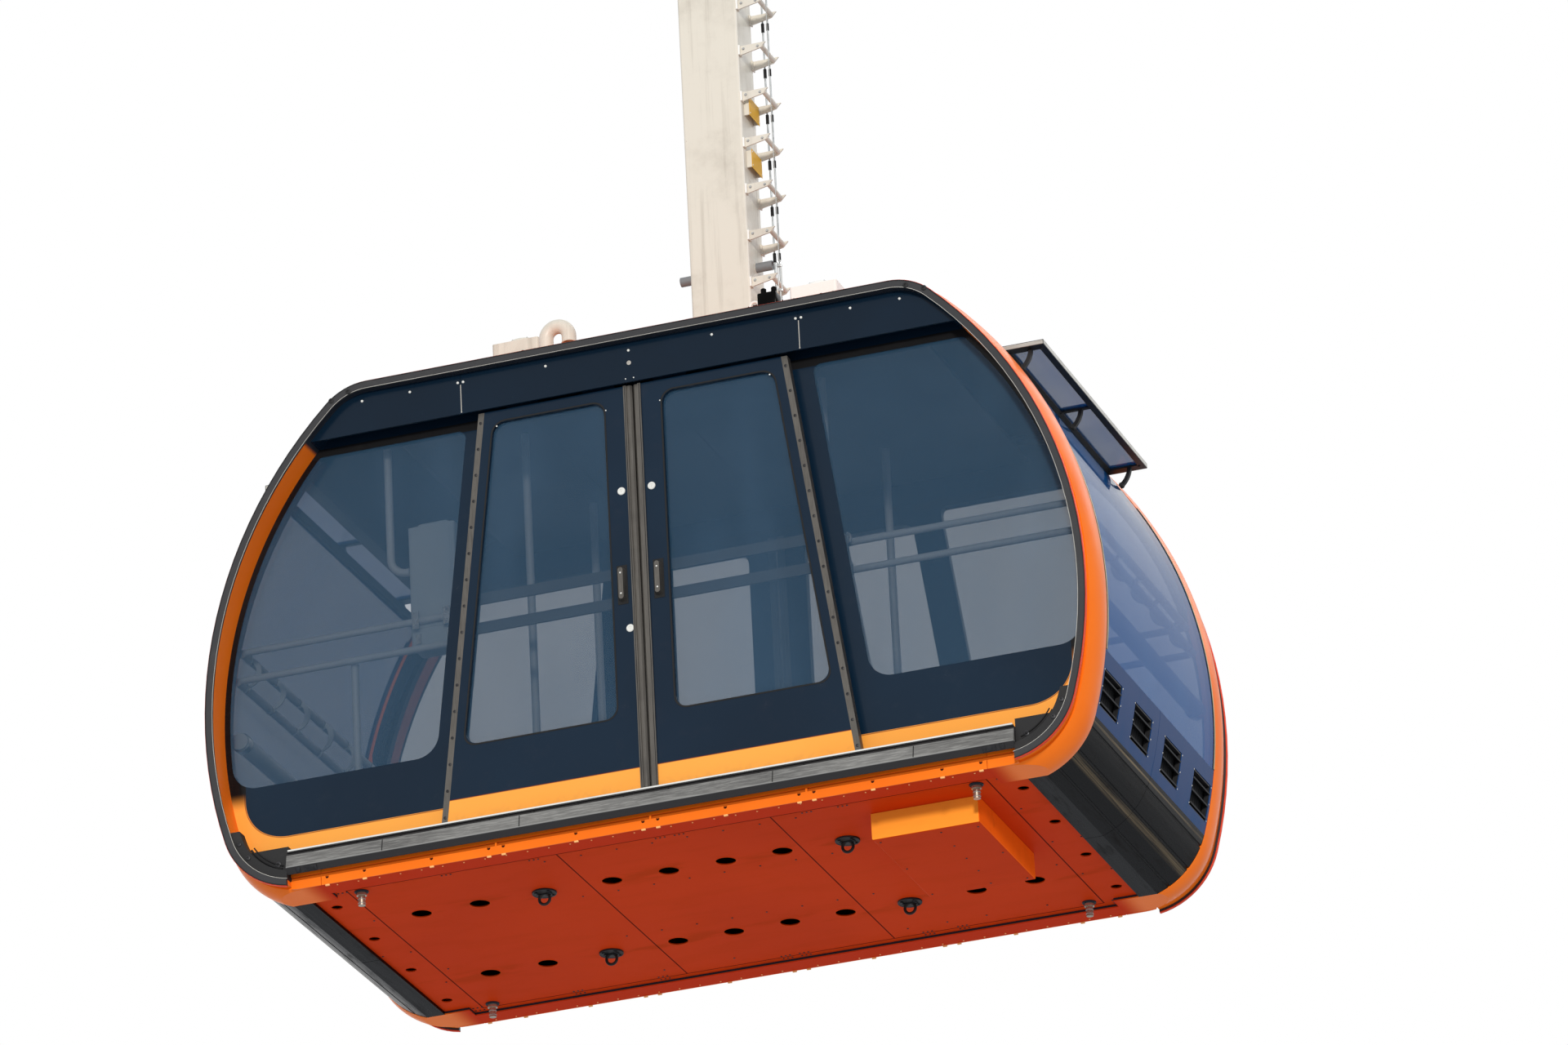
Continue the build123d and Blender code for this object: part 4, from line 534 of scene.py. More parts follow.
# Finish of every CAD node, by the start of the node's name
NODE_FINISHES = {
    BAND: "ring_band", ORANGE: "ring_frame roof", NAVY: "header", BUMPER: "sill", WALL: "side_walls",
    GLASS: "side_glass door_glass", LEAF: "door_leaf", TRIM: "door_trim", BLACK_PLASTIC: "corner_caps",
    BLACK_FRAME: "hatch_frames hatch_sashes vent_louvres", END_GLASS: "end_glazing", COVER: "end_covers",
    END_PANEL: "end_panels", UNDERSIDE: "floor_tray underfloor_box", FLOOR_RUBBER: "floor_deck",
    FITTINGS: "floor_fittings", CREAM: "roof_fittings hanger_arm roof_yoke arm_ladder",
    CEILING: "ceiling", RAIL: "side_handrails end_handrails grab_poles", BOX_GREY: "control_box",
    STEEL: "suspension_pin rocker_pins", ROLLER: "roller",
    ZINC: "two_roller_rockers four_roller_rockers main_beam haul_rope_clamps",
}
FINISH_OF = {start: finish for finish, starts in NODE_FINISHES.items() for start in starts.split()}
for node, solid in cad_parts.items():
    start = max((start for start in FINISH_OF if node.startswith(start)), key=len)
    for slot in solid.material_slots:
        slot.material = FINISH_OF[start]

SHARP = radians(35)


# Ways to shape pieces: they all add to one shape, which add_piece turns into a piece
shape = bmesh.new()


def add_piece(name, finish, body=CABIN):
    """Piece from the shape so far, which rides on a body of the CAD model."""
    bmesh.ops.remove_doubles(shape, verts=shape.verts, dist=0.00001)
    bmesh.ops.recalc_face_normals(shape, faces=shape.faces)
    mesh = bpy.data.meshes.new(name)
    shape.to_mesh(mesh)
    shape.clear()
    mesh.materials.append(finish)
    mesh.polygons.foreach_set("use_smooth", [True] * len(mesh.polygons))
    mesh.set_sharp_from_angle(angle=SHARP)
    piece = bpy.data.objects.new(name, mesh)
    bpy.context.scene.collection.objects.link(piece)
    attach(piece, body)


def facing(place, towards):
    """Frame at a place whose third axis points the way given."""
    return Matrix.Translation(place) @ Vector(towards).to_track_quat("Z", "Y").to_matrix().to_4x4()


def edges_of(vertices):
    return list({edge for vertex in vertices for edge in vertex.link_edges})


def chamfered(vertices, offset, segments=1):
    bmesh.ops.bevel(shape, geom=edges_of(vertices), offset=offset, segments=segments, profile=0.5,
                    affect="EDGES", material=-1)


def block(centre, size, chamfer, turn=None, segments=1):
    """Block with chamfered or rounded edges."""
    matrix = Matrix.Translation(centre) @ (turn or Matrix()) @ Matrix.Diagonal((*size, 1))
    made = bmesh.ops.create_cube(shape, size=1, matrix=matrix)
    chamfered(made["verts"], chamfer, segments)


def turned(profile, place, towards, sides):
    """Turned part: pairs of radius and height, spun round an axis."""
    before = set(shape.verts)
    points = [shape.verts.new((radius, 0, height)) for radius, height in profile]
    lines = [shape.edges.new(pair) for pair in zip(points, points[1:])]
    bmesh.ops.spin(shape, geom=points + lines, cent=(0, 0, 0), axis=UP, angle=2 * pi, steps=sides,
                   use_merge=True)
    made = [vertex for vertex in shape.verts if vertex not in before]
    bmesh.ops.remove_doubles(shape, verts=made, dist=0.000005)
    made = [vertex for vertex in shape.verts if vertex not in before]
    bmesh.ops.transform(shape, matrix=facing(place, towards), verts=made)


def dome(place, towards, radius, height, sides=8):
    profile = ((radius, -0.0005), (radius, height * 0.35), (radius * 0.8, height * 0.8),
               (radius * 0.35, height), (0, height))
    turned(profile, place, towards, sides)


def rivet(place, towards, radius, height):
    turned(((radius, -0.0005), (radius * 0.75, height), (0, height)), place, towards, 6)


def screw(place, towards, radius, height, sides=14):
    """Round head with a sunk middle."""
    profile = ((radius, -0.001), (radius, height * 0.7), (radius * 0.8, height), (radius * 0.45, height),
               (radius * 0.4, height * 0.4), (0, height * 0.4))
    turned(profile, place, towards, sides)


def nut(place, towards, radius, height):
    """Hexagon head on a washer."""
    washer = ((radius * 1.35, -0.0005), (radius * 1.35, height * 0.22), (radius, height * 0.24))
    turned(washer, place, towards, 14)
    matrix = facing(Vector(place) + Vector(towards).normalized() * height * 0.62, towards)
    made = bmesh.ops.create_cone(shape, cap_ends=True, segments=6, radius1=radius, radius2=radius,
                                 depth=height * 0.78, matrix=matrix)
    chamfered(made["verts"], radius * 0.1)


def rod(start, end, radius, sides):
    """Round rod between two points, its ends chamfered."""
    length = (end - start).length
    lip = min(radius * 0.3, length * 0.2)
    profile = ((0, 0), (radius - lip, 0), (radius, lip), (radius, length - lip),
               (radius - lip, length), (0, length))
    turned(profile, start, end - start, sides)


def pin(middle, half, radius, sides):
    """Rod by its middle and its half length along an axis."""
    rod(middle - Vector(half), middle + Vector(half), radius, sides)


def circle(count, radius, start=0):
    """Places spaced evenly round a circle."""
    turns = [start + 2 * pi * index / count for index in range(count)]
    return [(radius * cos(turn), radius * sin(turn)) for turn in turns]


def ring(place, towards, radius, wire, sides, around=6):
    """Ring of round wire."""
    section = circle(around, wire)
    profile = [(radius + across, up) for across, up in section + section[:1]]
    turned(profile, place, towards, sides)


def oblong(across, up):
    """Corners of an oblong, in order round it."""
    return [(across[0], up[0]), (across[1], up[0]), (across[1], up[1]), (across[0], up[1])]


def four(x, y):
    """The same place in all four quarters."""
    return [(hand * x, side * y) for hand in BOTH for side in BOTH]


def rim_run(side, insets, setbacks):
    """Strip along the side's outline from cap to cap, between two insets and two setbacks."""
    before = set(shape.verts)
    points = [shape.verts.new(at(side, 0, setback, TOP - inset))
              for inset, setback in oblong(insets, setbacks)]
    lines = [shape.edges.new((points[index - 1], points[index])) for index in range(len(points))]
    made = bmesh.ops.extrude_edge_only(shape, edges=lines)["geom"]
    ends = [item for item in made if isinstance(item, bmesh.types.BMVert)]
    bmesh.ops.translate(shape, verts=ends, vec=(SHOULDER[0], 0, 0))
    last = [item for item in made
            if isinstance(item, bmesh.types.BMEdge) and all(vertex in ends for vertex in item.verts)]
    for (x, height, radius, turn), steps in ((SHOULDER, 8), (END_BOW, 24), (CORNER, 12)):
        swept = bmesh.ops.spin(shape, geom=last, cent=spot(x, 0, height), axis=(0, 1, 0),
                               angle=radians(turn), steps=steps)
        last = [item for item in swept["geom_last"] if isinstance(item, bmesh.types.BMEdge)]
    bmesh.ops.holes_fill(shape, edges=last, sides=0)
    half = [vertex for vertex in shape.verts if vertex not in before]
    faces = list({face for vertex in half for face in vertex.link_faces})
    bmesh.ops.mirror(shape, geom=half + edges_of(half) + faces, axis="X", merge_dist=0.0001)


def corner_point(heading, inset):
    """Point x and height inside the lower corner's arc, by its heading from straight up."""
    radius = CORNER_R - inset
    return CORNER[0] + radius * sin(radians(heading)), CORNER[1] + radius * cos(radians(heading))


def end_x(height, inset=0):
    """Distance of the bowed end from the middle at a height."""
    return BOW_X + ((BOW_R - inset) ** 2 - (height - BOW_HEIGHT) ** 2) ** 0.5


def end_facing(hand, height):
    """Way the bowed end faces at a height."""
    return Vector((hand * (end_x(height) - BOW_X), 0, height - BOW_HEIGHT)).normalized()


def bow_strip(hand, widths, rises, heights):
    """Strip up a bowed end between two heights, standing on it between two rises."""
    start, stop = [pi / 2 - (height - BOW_HEIGHT) / BOW_R for height in heights]
    centre = spot(hand * BOW_X, 0, BOW_HEIGHT)
    out = Vector((hand * sin(start), 0, cos(start)))
    face = shape.faces.new([shape.verts.new(centre + out * (BOW_R + rise) + Vector((0, y, 0)))
                            for y, rise in oblong(widths, rises)])
    bmesh.ops.spin(shape, geom=[face], cent=centre, axis=(0, hand, 0), angle=stop - start, steps=22)


def leaf_edge(height):
    """Half width of the doorway at a height, out to the leaf's slanted edge."""
    return 1.033 - (height - 0.16) / 2.055 * 0.262


def mirrored(places):
    return sorted({sign * place for place in places for sign in (1, -1)})


def tilted(angle, axis):
    return Matrix.Rotation(angle, 4, axis)


# Long sides: band, header, threshold, foot rail, corner caps
SEAM_X = 0.8455
HEADER_FACE = 0.052
TOP_SCREWS = (0, 0.416, SEAM_X - 0.0135, SEAM_X + 0.0135, 1.102, 1.345)
DRAIN_SLOTS = (0.036, 0.366, 0.724, 0.796, 1.08, 1.414, 1.6)
RIM_STRIPS = (("band_edge", BLACK_FRAME, (-0.0015, 0.0035), (-0.0012, 0.003)),
              ("band_inner_line", EDGE_METAL, (0.0325, 0.035), (0.001, 0.006)),
              ("band_seal", RED_EDGE, (-0.004, 0), (0.003, 0.019)))
LIP_HEADING = radians(122)
for side, out in SIDES:
    outwards = (0, out, 0)
    for name, finish, insets, setbacks in RIM_STRIPS:
        rim_run(out, insets, setbacks)
        add_piece(f"{name}_{side}", finish)

    for x in mirrored(TOP_SCREWS):
        dome(at(out, x, HEADER_FACE, 2.381), outwards, 0.0068, 0.005, 10)
    for x in (-0.02, 0.02):
        dome(at(out, x, HEADER_FACE, 2.238), outwards, 0.0035, 0.003)
    add_piece(f"header_screws_{side}", WHITE)

    for x in (-SEAM_X, SEAM_X):
        block(at(out, x, HEADER_FACE - 0.0002, 2.3), (0.0045, 0.0022, 0.138), 0.0008)
        dome(at(out, x, HEADER_FACE, 2.228), outwards, 0.004, 0.003)
    screw(at(out, 0, HEADER_FACE, 2.317), outwards, 0.011, 0.0035)
    add_piece(f"header_seam_strips_{side}", SEALANT)

    for bolt_x, height in ((1.394, 2.419), (1.482, 2.388)):
        for x in (-bolt_x, bolt_x):
            screw(at(out, x, 0, height), outwards, 0.013, 0.0045)
    add_piece(f"band_bolts_{side}", BLACK_PLASTIC)

    block(at(out, 0, 0.017, 0.1612), (3.55, 0.006, 0.009), 0.0015)
    add_piece(f"threshold_strip_{side}", WHITE)

    # Drain lips under the slots of the foot rail, rivets along it; their pale orange is a painted highlight
    # of the sunlit lips
    for x in mirrored(DRAIN_SLOTS):
        block(at(out, x, 0.067, -0.0195), (0.021, 0.009, 0.0085), 0.002, segments=2)
    for x in mirrored([0.09 + 0.105 * index for index in range(15)]):
        rivet(at(out, x, 0.09, -0.016), DOWN, 0.0045, 0.0025)
    add_piece(f"foot_rail_lips_{side}", LIP_HIGHLIGHT_ORANGE)

    # Bumper: clips under its nose, joints and small screws in its upper face
    for hand in BOTH:
        for x, width in ((1.66, 0.062), (1.722, 0.022)):
            block(at(out, hand * x, 0.0095, 0.0575), (width, 0.004, 0.026), 0.0025,
                  tilted(-out * 0.666, "X"), 2)
        for x in (1.644, 1.676):
            dome(at(out, hand * x, 0.0085, 0.0562), (0, out * 0.786, -0.618), 0.004, 0.004)
    add_piece(f"bumper_clips_{side}", DARK_METAL)

    for x in mirrored((0.62, 1.3)):
        block(at(out, x, 0.0062, 0.106), (0.004, 0.003, 0.06), 0.001, tilted(out * 0.215, "X"))
    for x in mirrored([0.11 + 0.22 * index for index in range(8)]):
        dome(at(out, x, 0.0185, 0.144), outwards, 0.0035, 0.003)
    add_piece(f"bumper_joints_{side}", RUBBER)

    # Caps: screws on the arm and the block, crescent lips behind the arm
    for hand in BOTH:
        for heading in (112, 128):
            x, height = corner_point(heading, 0.055)
            screw(at(out, hand * x, 0.014, height), outwards, 0.012, 0.005)
        screw(at(out, hand * 1.832, 0.04, 0.112), outwards, 0.014, 0.005)
    add_piece(f"cap_screws_{side}", DARK_METAL)

    for hand in BOTH:
        centre = at(out, hand * CORNER[0], 0.036, CORNER[1])
        along = (hand * cos(LIP_HEADING), 0, -sin(LIP_HEADING))
        for reach, wire in ((CORNER_R - 0.088, 0.005), (CORNER_R - 0.104, 0.0035)):
            first = centre + Vector((hand * reach * sin(LIP_HEADING), 0, reach * cos(LIP_HEADING)))
            made = bmesh.ops.create_circle(shape, segments=8, radius=wire, matrix=facing(first, along))
            bmesh.ops.spin(shape, geom=made["verts"] + edges_of(made["verts"]), cent=centre,
                           axis=(0, hand, 0), angle=radians(40), steps=10)
    add_piece(f"cap_lips_{side}", RUBBER)


# Door leaves: gasket round each pane, edge screws, grip screws, locks
def gasket(corners, radius, width, thick, out):
    """Rounded rubber frame lying on a wall, its thickness outwards."""
    points = [shape.verts.new(corner) for corner in corners]
    shape.faces.new(points)
    bmesh.ops.bevel(shape, geom=points, offset=radius, segments=5, profile=0.5, affect="VERTICES",
                    material=-1)
    panel = max(shape.faces, key=lambda face: face.calc_area())
    bmesh.ops.inset_region(shape, faces=[panel], thickness=width, use_boundary=True, use_even_offset=True)
    bmesh.ops.delete(shape, geom=[panel], context="FACES_ONLY")
    raised = bmesh.ops.extrude_face_region(shape, geom=list(shape.faces))["geom"]
    raised = [item for item in raised if isinstance(item, bmesh.types.BMVert)]
    bmesh.ops.translate(shape, verts=raised, vec=(0, out * thick, 0))


LEAF_FACE = 0.08
PANE_FOOT, PANE_TOP, PANE_INNER, PANE_GAP = 0.55, 2.163, 0.137, 0.072
GRIP_X, GRIP_HEIGHT = 0.09, 1.215
MEETING_LOCK, LOW_LOCK = (0.075, 1.686), (0.061, 0.992)
LOCK = ((0, 0), (0.019, 0), (0.019, 0.004), (0.016, 0.007), (0.009, 0.007), (0.0085, 0.004), (0, 0.004))
LEAVES = [(*side, *end) for side in SIDES for end in ENDS]
for side, out, end, hand in LEAVES:
    outwards = (0, out, 0)
    body = f"door_{side}_{end}"
    corners = ((PANE_INNER, PANE_FOOT), (leaf_edge(PANE_FOOT) - PANE_GAP, PANE_FOOT),
               (leaf_edge(PANE_TOP) - PANE_GAP, PANE_TOP), (PANE_INNER, PANE_TOP))
    corners = [at(out, hand * x, LEAF_FACE, height) for x, height in corners]
    gasket(corners, 0.064, 0.008, 0.001, out)
    add_piece(f"pane_gasket_{side}_{end}", RUBBER, body)

    for index in range(16):
        height = 0.215 + 0.13 * index
        place = at(out, hand * (leaf_edge(height) - 0.015), LEAF_FACE, height)
        screw(place, outwards, 0.0075, 0.003, 8)
    add_piece(f"edge_screws_{side}_{end}", DARK_METAL, body)

    for sign in BOTH:
        place = at(out, hand * GRIP_X, 0.053, GRIP_HEIGHT + sign * 0.052)
        dome(place, outwards, 0.0045, 0.0025, 10)
    dome(at(out, hand * (leaf_edge(2.13) - 0.1), 0.079, 2.135), outwards, 0.004, 0.002)
    dome(at(out, hand * 0.135, 0.079, 2.11), outwards, 0.0035, 0.002)
    add_piece(f"leaf_screws_{side}_{end}", WHITE, body)

    for x, height in (MEETING_LOCK,) if end == "front" else (MEETING_LOCK, LOW_LOCK):
        turned(LOCK, at(out, hand * x, LEAF_FACE, height), outwards, 20)
        block(at(out, hand * x, 0.0735, height), (0.003, 0.003, 0.01), 0.001)
    add_piece(f"door_locks_{side}_{end}", WHITE, body)

    # Plate under the grip, shadow line along the meeting edge
    block(at(out, hand * GRIP_X, 0.0792, GRIP_HEIGHT), (0.052, 0.0018, 0.196), 0.0008)
    block(at(out, hand * 0.036, 0.0715, 1.1875), (0.003, 0.0012, 2.05), 0.0004)
    add_piece(f"leaf_shadow_lines_{side}_{end}", RUBBER, body)


# Ends: dark sheet with bars behind each vent, painted shade for its inside, screws round the vents and in the
# corner covers
VENT_Y = (-0.686, -0.2287, 0.2287, 0.686)
VENT_HEIGHT = 0.379
VENT_TILT = end_facing(1, VENT_HEIGHT).angle(Vector(UP)) - pi / 2
COVER_HEADING = 162.8
for end, hand in ENDS:
    tilt = tilted(hand * VENT_TILT, "Y")
    # painted shade: a dark sheet and bars behind the louvres, where the inside would be in shade
    for y in VENT_Y:
        back = spot(hand * (end_x(VENT_HEIGHT) - 0.016), y, VENT_HEIGHT)
        block(back, (0.003, 0.3, 0.23), 0.001, tilt)
        for index in range(9):
            place = back + Vector((hand * 0.0015, 0.03 * index - 0.12, 0))
            block(place, (0.003, 0.004, 0.2), 0.001, tilt)
    add_piece(f"vent_shade_backing_{end}", RUBBER)

    for y in VENT_Y:
        for height in (VENT_HEIGHT - 0.081, VENT_HEIGHT, VENT_HEIGHT + 0.081):
            for sign in BOTH:
                place = spot(hand * end_x(height, -0.02), y + sign * 0.1355, height)
                dome(place, end_facing(hand, height), 0.0042, 0.003)
    add_piece(f"vent_screws_{end}", STEEL)

    x, height = corner_point(COVER_HEADING, 0.016)
    towards = Vector((hand * sin(radians(COVER_HEADING)), 0, cos(radians(COVER_HEADING))))
    for y in mirrored((0.239, 0.471, 0.7)):
        screw(spot(hand * x, y, height), towards, 0.009, 0.004, 10)
    add_piece(f"cover_screws_{end}", DARK_METAL)

    # Sealing strips up both edges of the end glass
    for name, finish, inner, outer, rise in (("seal", RUBBER, 0.818, 0.8385, 0.0225),
                                             ("strip", BRASS, 0.8225, 0.8325, 0.0245)):
        for sign in BOTH:
            bow_strip(hand, (sign * inner, sign * outer), (0.019, rise), (0.556, 1.992))
        add_piece(f"end_glass_{name}_{end}", finish)


# Underside: screws of the tray and of the box under it, hole edges, tie-down bolts, feet
TRAY_SCREWS = [(x, y) for y in (-0.315, 0.268)
               for x in (-0.606, -0.429, -0.252, -0.075, 0.098, 0.275, 0.451, 0.63)]
TRAY_SCREWS += [(x, -0.817) for x in (-0.606, -0.426, -0.25, -0.075, 0.097, 0.273, 0.452, 0.628)]
TRAY_SCREWS += [(x, 0.781) for x in (0.625, 0.823, 1.019, 1.321, -0.25, -0.606)]
TRAY_SCREWS += [(hand * x, y) for hand in BOTH
                for x, y in ((1.6, -0.459), (1.6, 0.005), (1.6, 0.462), (1.741, 0.003), (1.525, 0.297))]
TRAY_SCREWS += [(0.877, 0.383), (1.741, 0.461)]
TRAY_SCREWS += [(start + 0.022 * step, row) for row in (-0.897, -0.862, 0.897, 0.862)
                for start in (-0.665, -0.041, 0.052, 0.675, 0.849, 1.618, -1.618, -1.1) for step in range(3)]
BOX_SCREWS = [(0.981, -0.665), (1.449, -0.653), (1.448, -0.291), (1.273, -0.661), (1.273, -0.471),
              (1.273, -0.295), (1.273, -0.12), (1.273, 0.06), (1.447, 0.073), (0.981, 0.073),
              (0.981, -0.291)]
for places, height in ((TRAY_SCREWS, 0), (BOX_SCREWS, BOX_BOTTOM)):
    for x, y in places:
        rivet(spot(x, y, height), DOWN, 0.0055, 0.0028)
add_piece("tray_screws", DARK_METAL)

DRAIN_ROW = 0.445
for x in (-1.366, -1.073, -0.412, -0.13, 0.152, 0.43, 1.082, 1.37):
    for y in (-DRAIN_ROW, DRAIN_ROW):
        under_box = 0.955 < x < BOX_END and y < 0.111
        if not under_box:
            ring(spot(x, y, 0.0005), DOWN, 0.0495, 0.0022, 28)
for x in (-1.69, 1.69):
    for y in mirrored((0.2327, 0.698)):
        ring(spot(x, y, 0.0005), DOWN, 0.0277, 0.0018, 20)
add_piece("hole_edges", UNDERSIDE)

for x, y in four(0.75, DRAIN_ROW):
    for across, along in circle(4, 0.044, pi / 4):
        nut(spot(x + across, y + along, -0.008), DOWN, 0.0075, 0.006)
    ring(spot(x, y, -0.007), DOWN, 0.056, 0.0025, 28)
    block(spot(x, y, -0.011), (0.074, 0.014, 0.008), 0.002)
    for sign in BOTH:
        block(spot(x + sign * 0.03, y, -0.011), (0.012, 0.034, 0.008), 0.002)
add_piece("tie_down_bolts", DARK_METAL)

COLLAR = ((0.026, 0), (0.034, 0), (0.034, 0.004), (0.029, 0.009), (0.026, 0.009), (0.026, 0))
FEET = four(1.51, 0.839)
for x, y in FEET:
    turned(COLLAR, spot(x, y, 0), DOWN, 20)
add_piece("foot_collars", ORANGE)

for x, y in FEET:
    for height in (-0.06, -0.04):
        ring(spot(x, y, height), DOWN, 0.0172, 0.0015, 20)
add_piece("foot_pin_grooves", STEEL)


# Hatches: bright edge on each sash, hinges and screws, knobs on the stays
SASH_HEIGHT = 2.1475
HINGE_X = 1.7535
for end, hand in ENDS:
    block(spot(hand * 1.9505, 0, SASH_HEIGHT), (0.005, 1.598, 0.02), 0.001)
    for sign in BOTH:
        block(spot(hand * 1.851, sign * 0.7995, SASH_HEIGHT), (0.196, 0.004, 0.02), 0.001)
    add_piece(f"sash_edge_{end}", EDGE_METAL)

    for y in (-0.74, -0.4, 0, 0.4, 0.74):
        pin(spot(hand * HINGE_X, y, 2.162), (0, 0.03, 0), 0.006, 8)
    for y in (-0.755, 0, 0.755):
        for x in (1.775, 1.925):
            dome(spot(hand * x, y, 2.16), UP, 0.006, 0.004)
            dome(spot(hand * x, y, 2.135), DOWN, 0.006, 0.004)
    add_piece(f"sash_hinges_{end}", DARK_METAL)

    knob_x = 1.751 + 0.125 * cos(radians(50))
    knob_height = SASH_HEIGHT - 0.125 * sin(radians(50))
    for y in (-0.757, 0, 0.757):
        pin(spot(hand * knob_x, y, knob_height), (0, 0.016, 0), 0.0115, 12)
    add_piece(f"stay_knobs_{end}", BLACK_PLASTIC)


# Inside: clamps and lid of the control box, sockets and clamps of the rails
WALLWARD = (0, -1, 0)
RAIL_HEIGHTS = (1.16, 1.3)
for x in (-1.185, -1.03):
    block(spot(x, -0.8635, 1.3), (0.034, 0.004, 0.088), 0.001)
    block(spot(x, -0.844, 1.3), (0.03, 0.038, 0.044), 0.008, segments=2)
    for height in (1.268, 1.332):
        nut(spot(x, -0.8655, height), WALLWARD, 0.0065, 0.006)
    block(spot(x, -0.83, 1.215), (0.026, 0.006, 0.05), 0.001)
    nut(spot(x, -0.833, 1.215), WALLWARD, 0.006, 0.006)
add_piece("control_box_clamps", STEEL)

LID = spot(-1.1075, -0.8285, 1.52)
block(LID, (0.205, 0.003, 0.5), 0.001)
block(LID, (0.19, 0.006, 0.485), 0.001)
for x in (-1.195, -1.02):
    for height in (1.3, 1.52, 1.75):
        screw(spot(x, -0.83, height), WALLWARD, 0.006, 0.003, 10)
block(spot(-1.1075, -0.75, 1.802), (0.15, 0.1, 0.024), 0.006)
add_piece("control_box_lid", BOX_GREY)

WALL_SOCKET = ((0.012, 0.012), (0.016, 0.01), (0.03, 0.006), (0.03, 0), (0, 0))
POLE_SOCKET = ((0.02, 0.05), (0.024, 0.046), (0.026, 0.01), (0.042, 0.004), (0.042, 0), (0, 0))
for hand in BOTH:
    for height in RAIL_HEIGHTS:
        for out in BOTH:
            turned(WALL_SOCKET, spot(hand * 0.97, out * 0.9035, height), (0, -out, 0), 16)
            pin(spot(hand * 0.97, out * 0.844, height), (hand * 0.015, 0, 0), 0.0195, 12)
        x = hand * end_x(height, 0.04)
        for y in mirrored((0.15, 0.45, 0.75)):
            pin(spot(x, y, height), (0, 0.017, 0), 0.0225, 14)
    x = hand * end_x(0.86, 0.062)
    for out in BOTH:
        rod(spot(x, out * 0.77, 0.86), spot(x, out * 0.8375, 0.86), 0.048, 18)
for x, y in four(0.75, 0.46):
    turned(POLE_SOCKET, spot(x, y, 0.14), UP, 18)
add_piece("rail_sockets", STEEL)


# Arm: guide rods with sleeves beside the ladder, its bolts
RUNGS = [3.044 + 0.25 * index for index in range(13)]
RODS_TOP = RUNGS[-1] + 0.14
RODS_Y = 0.5495
for x in (0.212, 0.237):
    rod(spot(x, RODS_Y, 3.12), spot(x, RODS_Y, RODS_TOP), 0.0045, 8)
add_piece("guide_rods", ZINC)

for rung in RUNGS:
    for x, half, radius in ((0.212, 0.025, 0.0085), (0.237, 0.02, 0.0075)):
        middle = rung - 0.055 if half > 0.02 else rung - 0.054
        pin(spot(x, RODS_Y, middle), (0, 0, half), radius, 10)
add_piece("rod_sleeves", RUBBER)

for rung in RUNGS:
    for y, towards, last_x in ((0.5402, 1, 0.262), (0.3398, -1, 0.25)):
        for x in (0.176, last_x):
            nut(spot(x, y, rung - 0.004), (0, towards, 0), 0.0058, 0.005)
add_piece("ladder_bolts", STEEL)

# Safety line with its turnbuckle, down to an eye on the roof
LINE = (0.305, 0.335)
EYE = ((0, 0.012), (0.01, 0.012), (0.012, 0.008), (0.026, 0.006), (0.026, 0), (0, 0))
rod(spot(*LINE, 3.365), spot(*LINE, RODS_TOP), 0.002, 6)
rod(spot(*LINE, 2.515), spot(*LINE, 3.205), 0.004, 8)
block(spot(0.229, LINE[1], RODS_TOP), (0.156, 0.01, 0.024), 0.003)
add_piece("safety_line", STEEL)

for sign in BOTH:
    x = LINE[0] + sign * 0.0085
    rod(spot(x, LINE[1], 3.215), spot(x, LINE[1], 3.335), 0.0035, 8)
for height in (3.21, 3.34):
    block(spot(*LINE, height), (0.026, 0.014, 0.016), 0.003, segments=2)
ring(spot(*LINE, 3.358), (0, 1, 0), 0.01, 0.003, 16, 8)
ring(spot(*LINE, 2.505), (0, 1, 0), 0.013, 0.005, 18, 8)
turned(EYE, spot(*LINE, ROOF), UP, 16)
add_piece("turnbuckle", STEEL)

# Two blank plates on their supports, bolts of the arm's foot
PLATES = (4.243, 3.96)
for middle in PLATES:
    block(spot(0.181, 0.4435, middle), (0.003, 0.145, 0.1), 0.001)
add_piece("blank_plates", YELLOW)

for middle in PLATES:
    for y in (0.378, 0.509):
        block(spot(0.166, y, middle), (0.027, 0.008, 0.09), 0.001)
        for shift in (-0.036, 0.036):
            dome(spot(0.1825, y, middle + shift), (1, 0, 0), 0.0045, 0.003)
add_piece("plate_supports", CREAM)

for x in (-0.183, 0.183):
    for y in (0.29, 0.59, 0.36, 0.44, 0.52):
        nut(spot(x, y, 2.641), UP, 0.015, 0.016)
add_piece("foot_plate_bolts", STEEL)


# Roof: screws of the boxes and lids, plugs, gland block with its bracket, rims of the bent pipe
ROOF_BOXES = (-0.755, 0.755)
BOX_Y = -0.4
BOX_TOP = ROOF + 0.316
PIPE = (-0.568, -0.61)
FLANGE = ((0.036, 0.01), (0.058, 0.006), (0.058, 0), (0.036, 0), (0.036, 0.01))
for x in ROOF_BOXES:
    for across, along in circle(6, 0.072):
        dome(spot(x + across, BOX_Y + along, BOX_TOP + 0.0375), UP, 0.005, 0.003)
    ring(spot(x, BOX_Y, BOX_TOP + 0.001), UP, 0.086, 0.003, 28)
    for sign in BOTH:
        for height in (2.56, 2.73):
            dome(spot(x + sign * 0.098, -0.534, height), WALLWARD, 0.006, 0.003)
add_piece("roof_box_screws", STEEL)

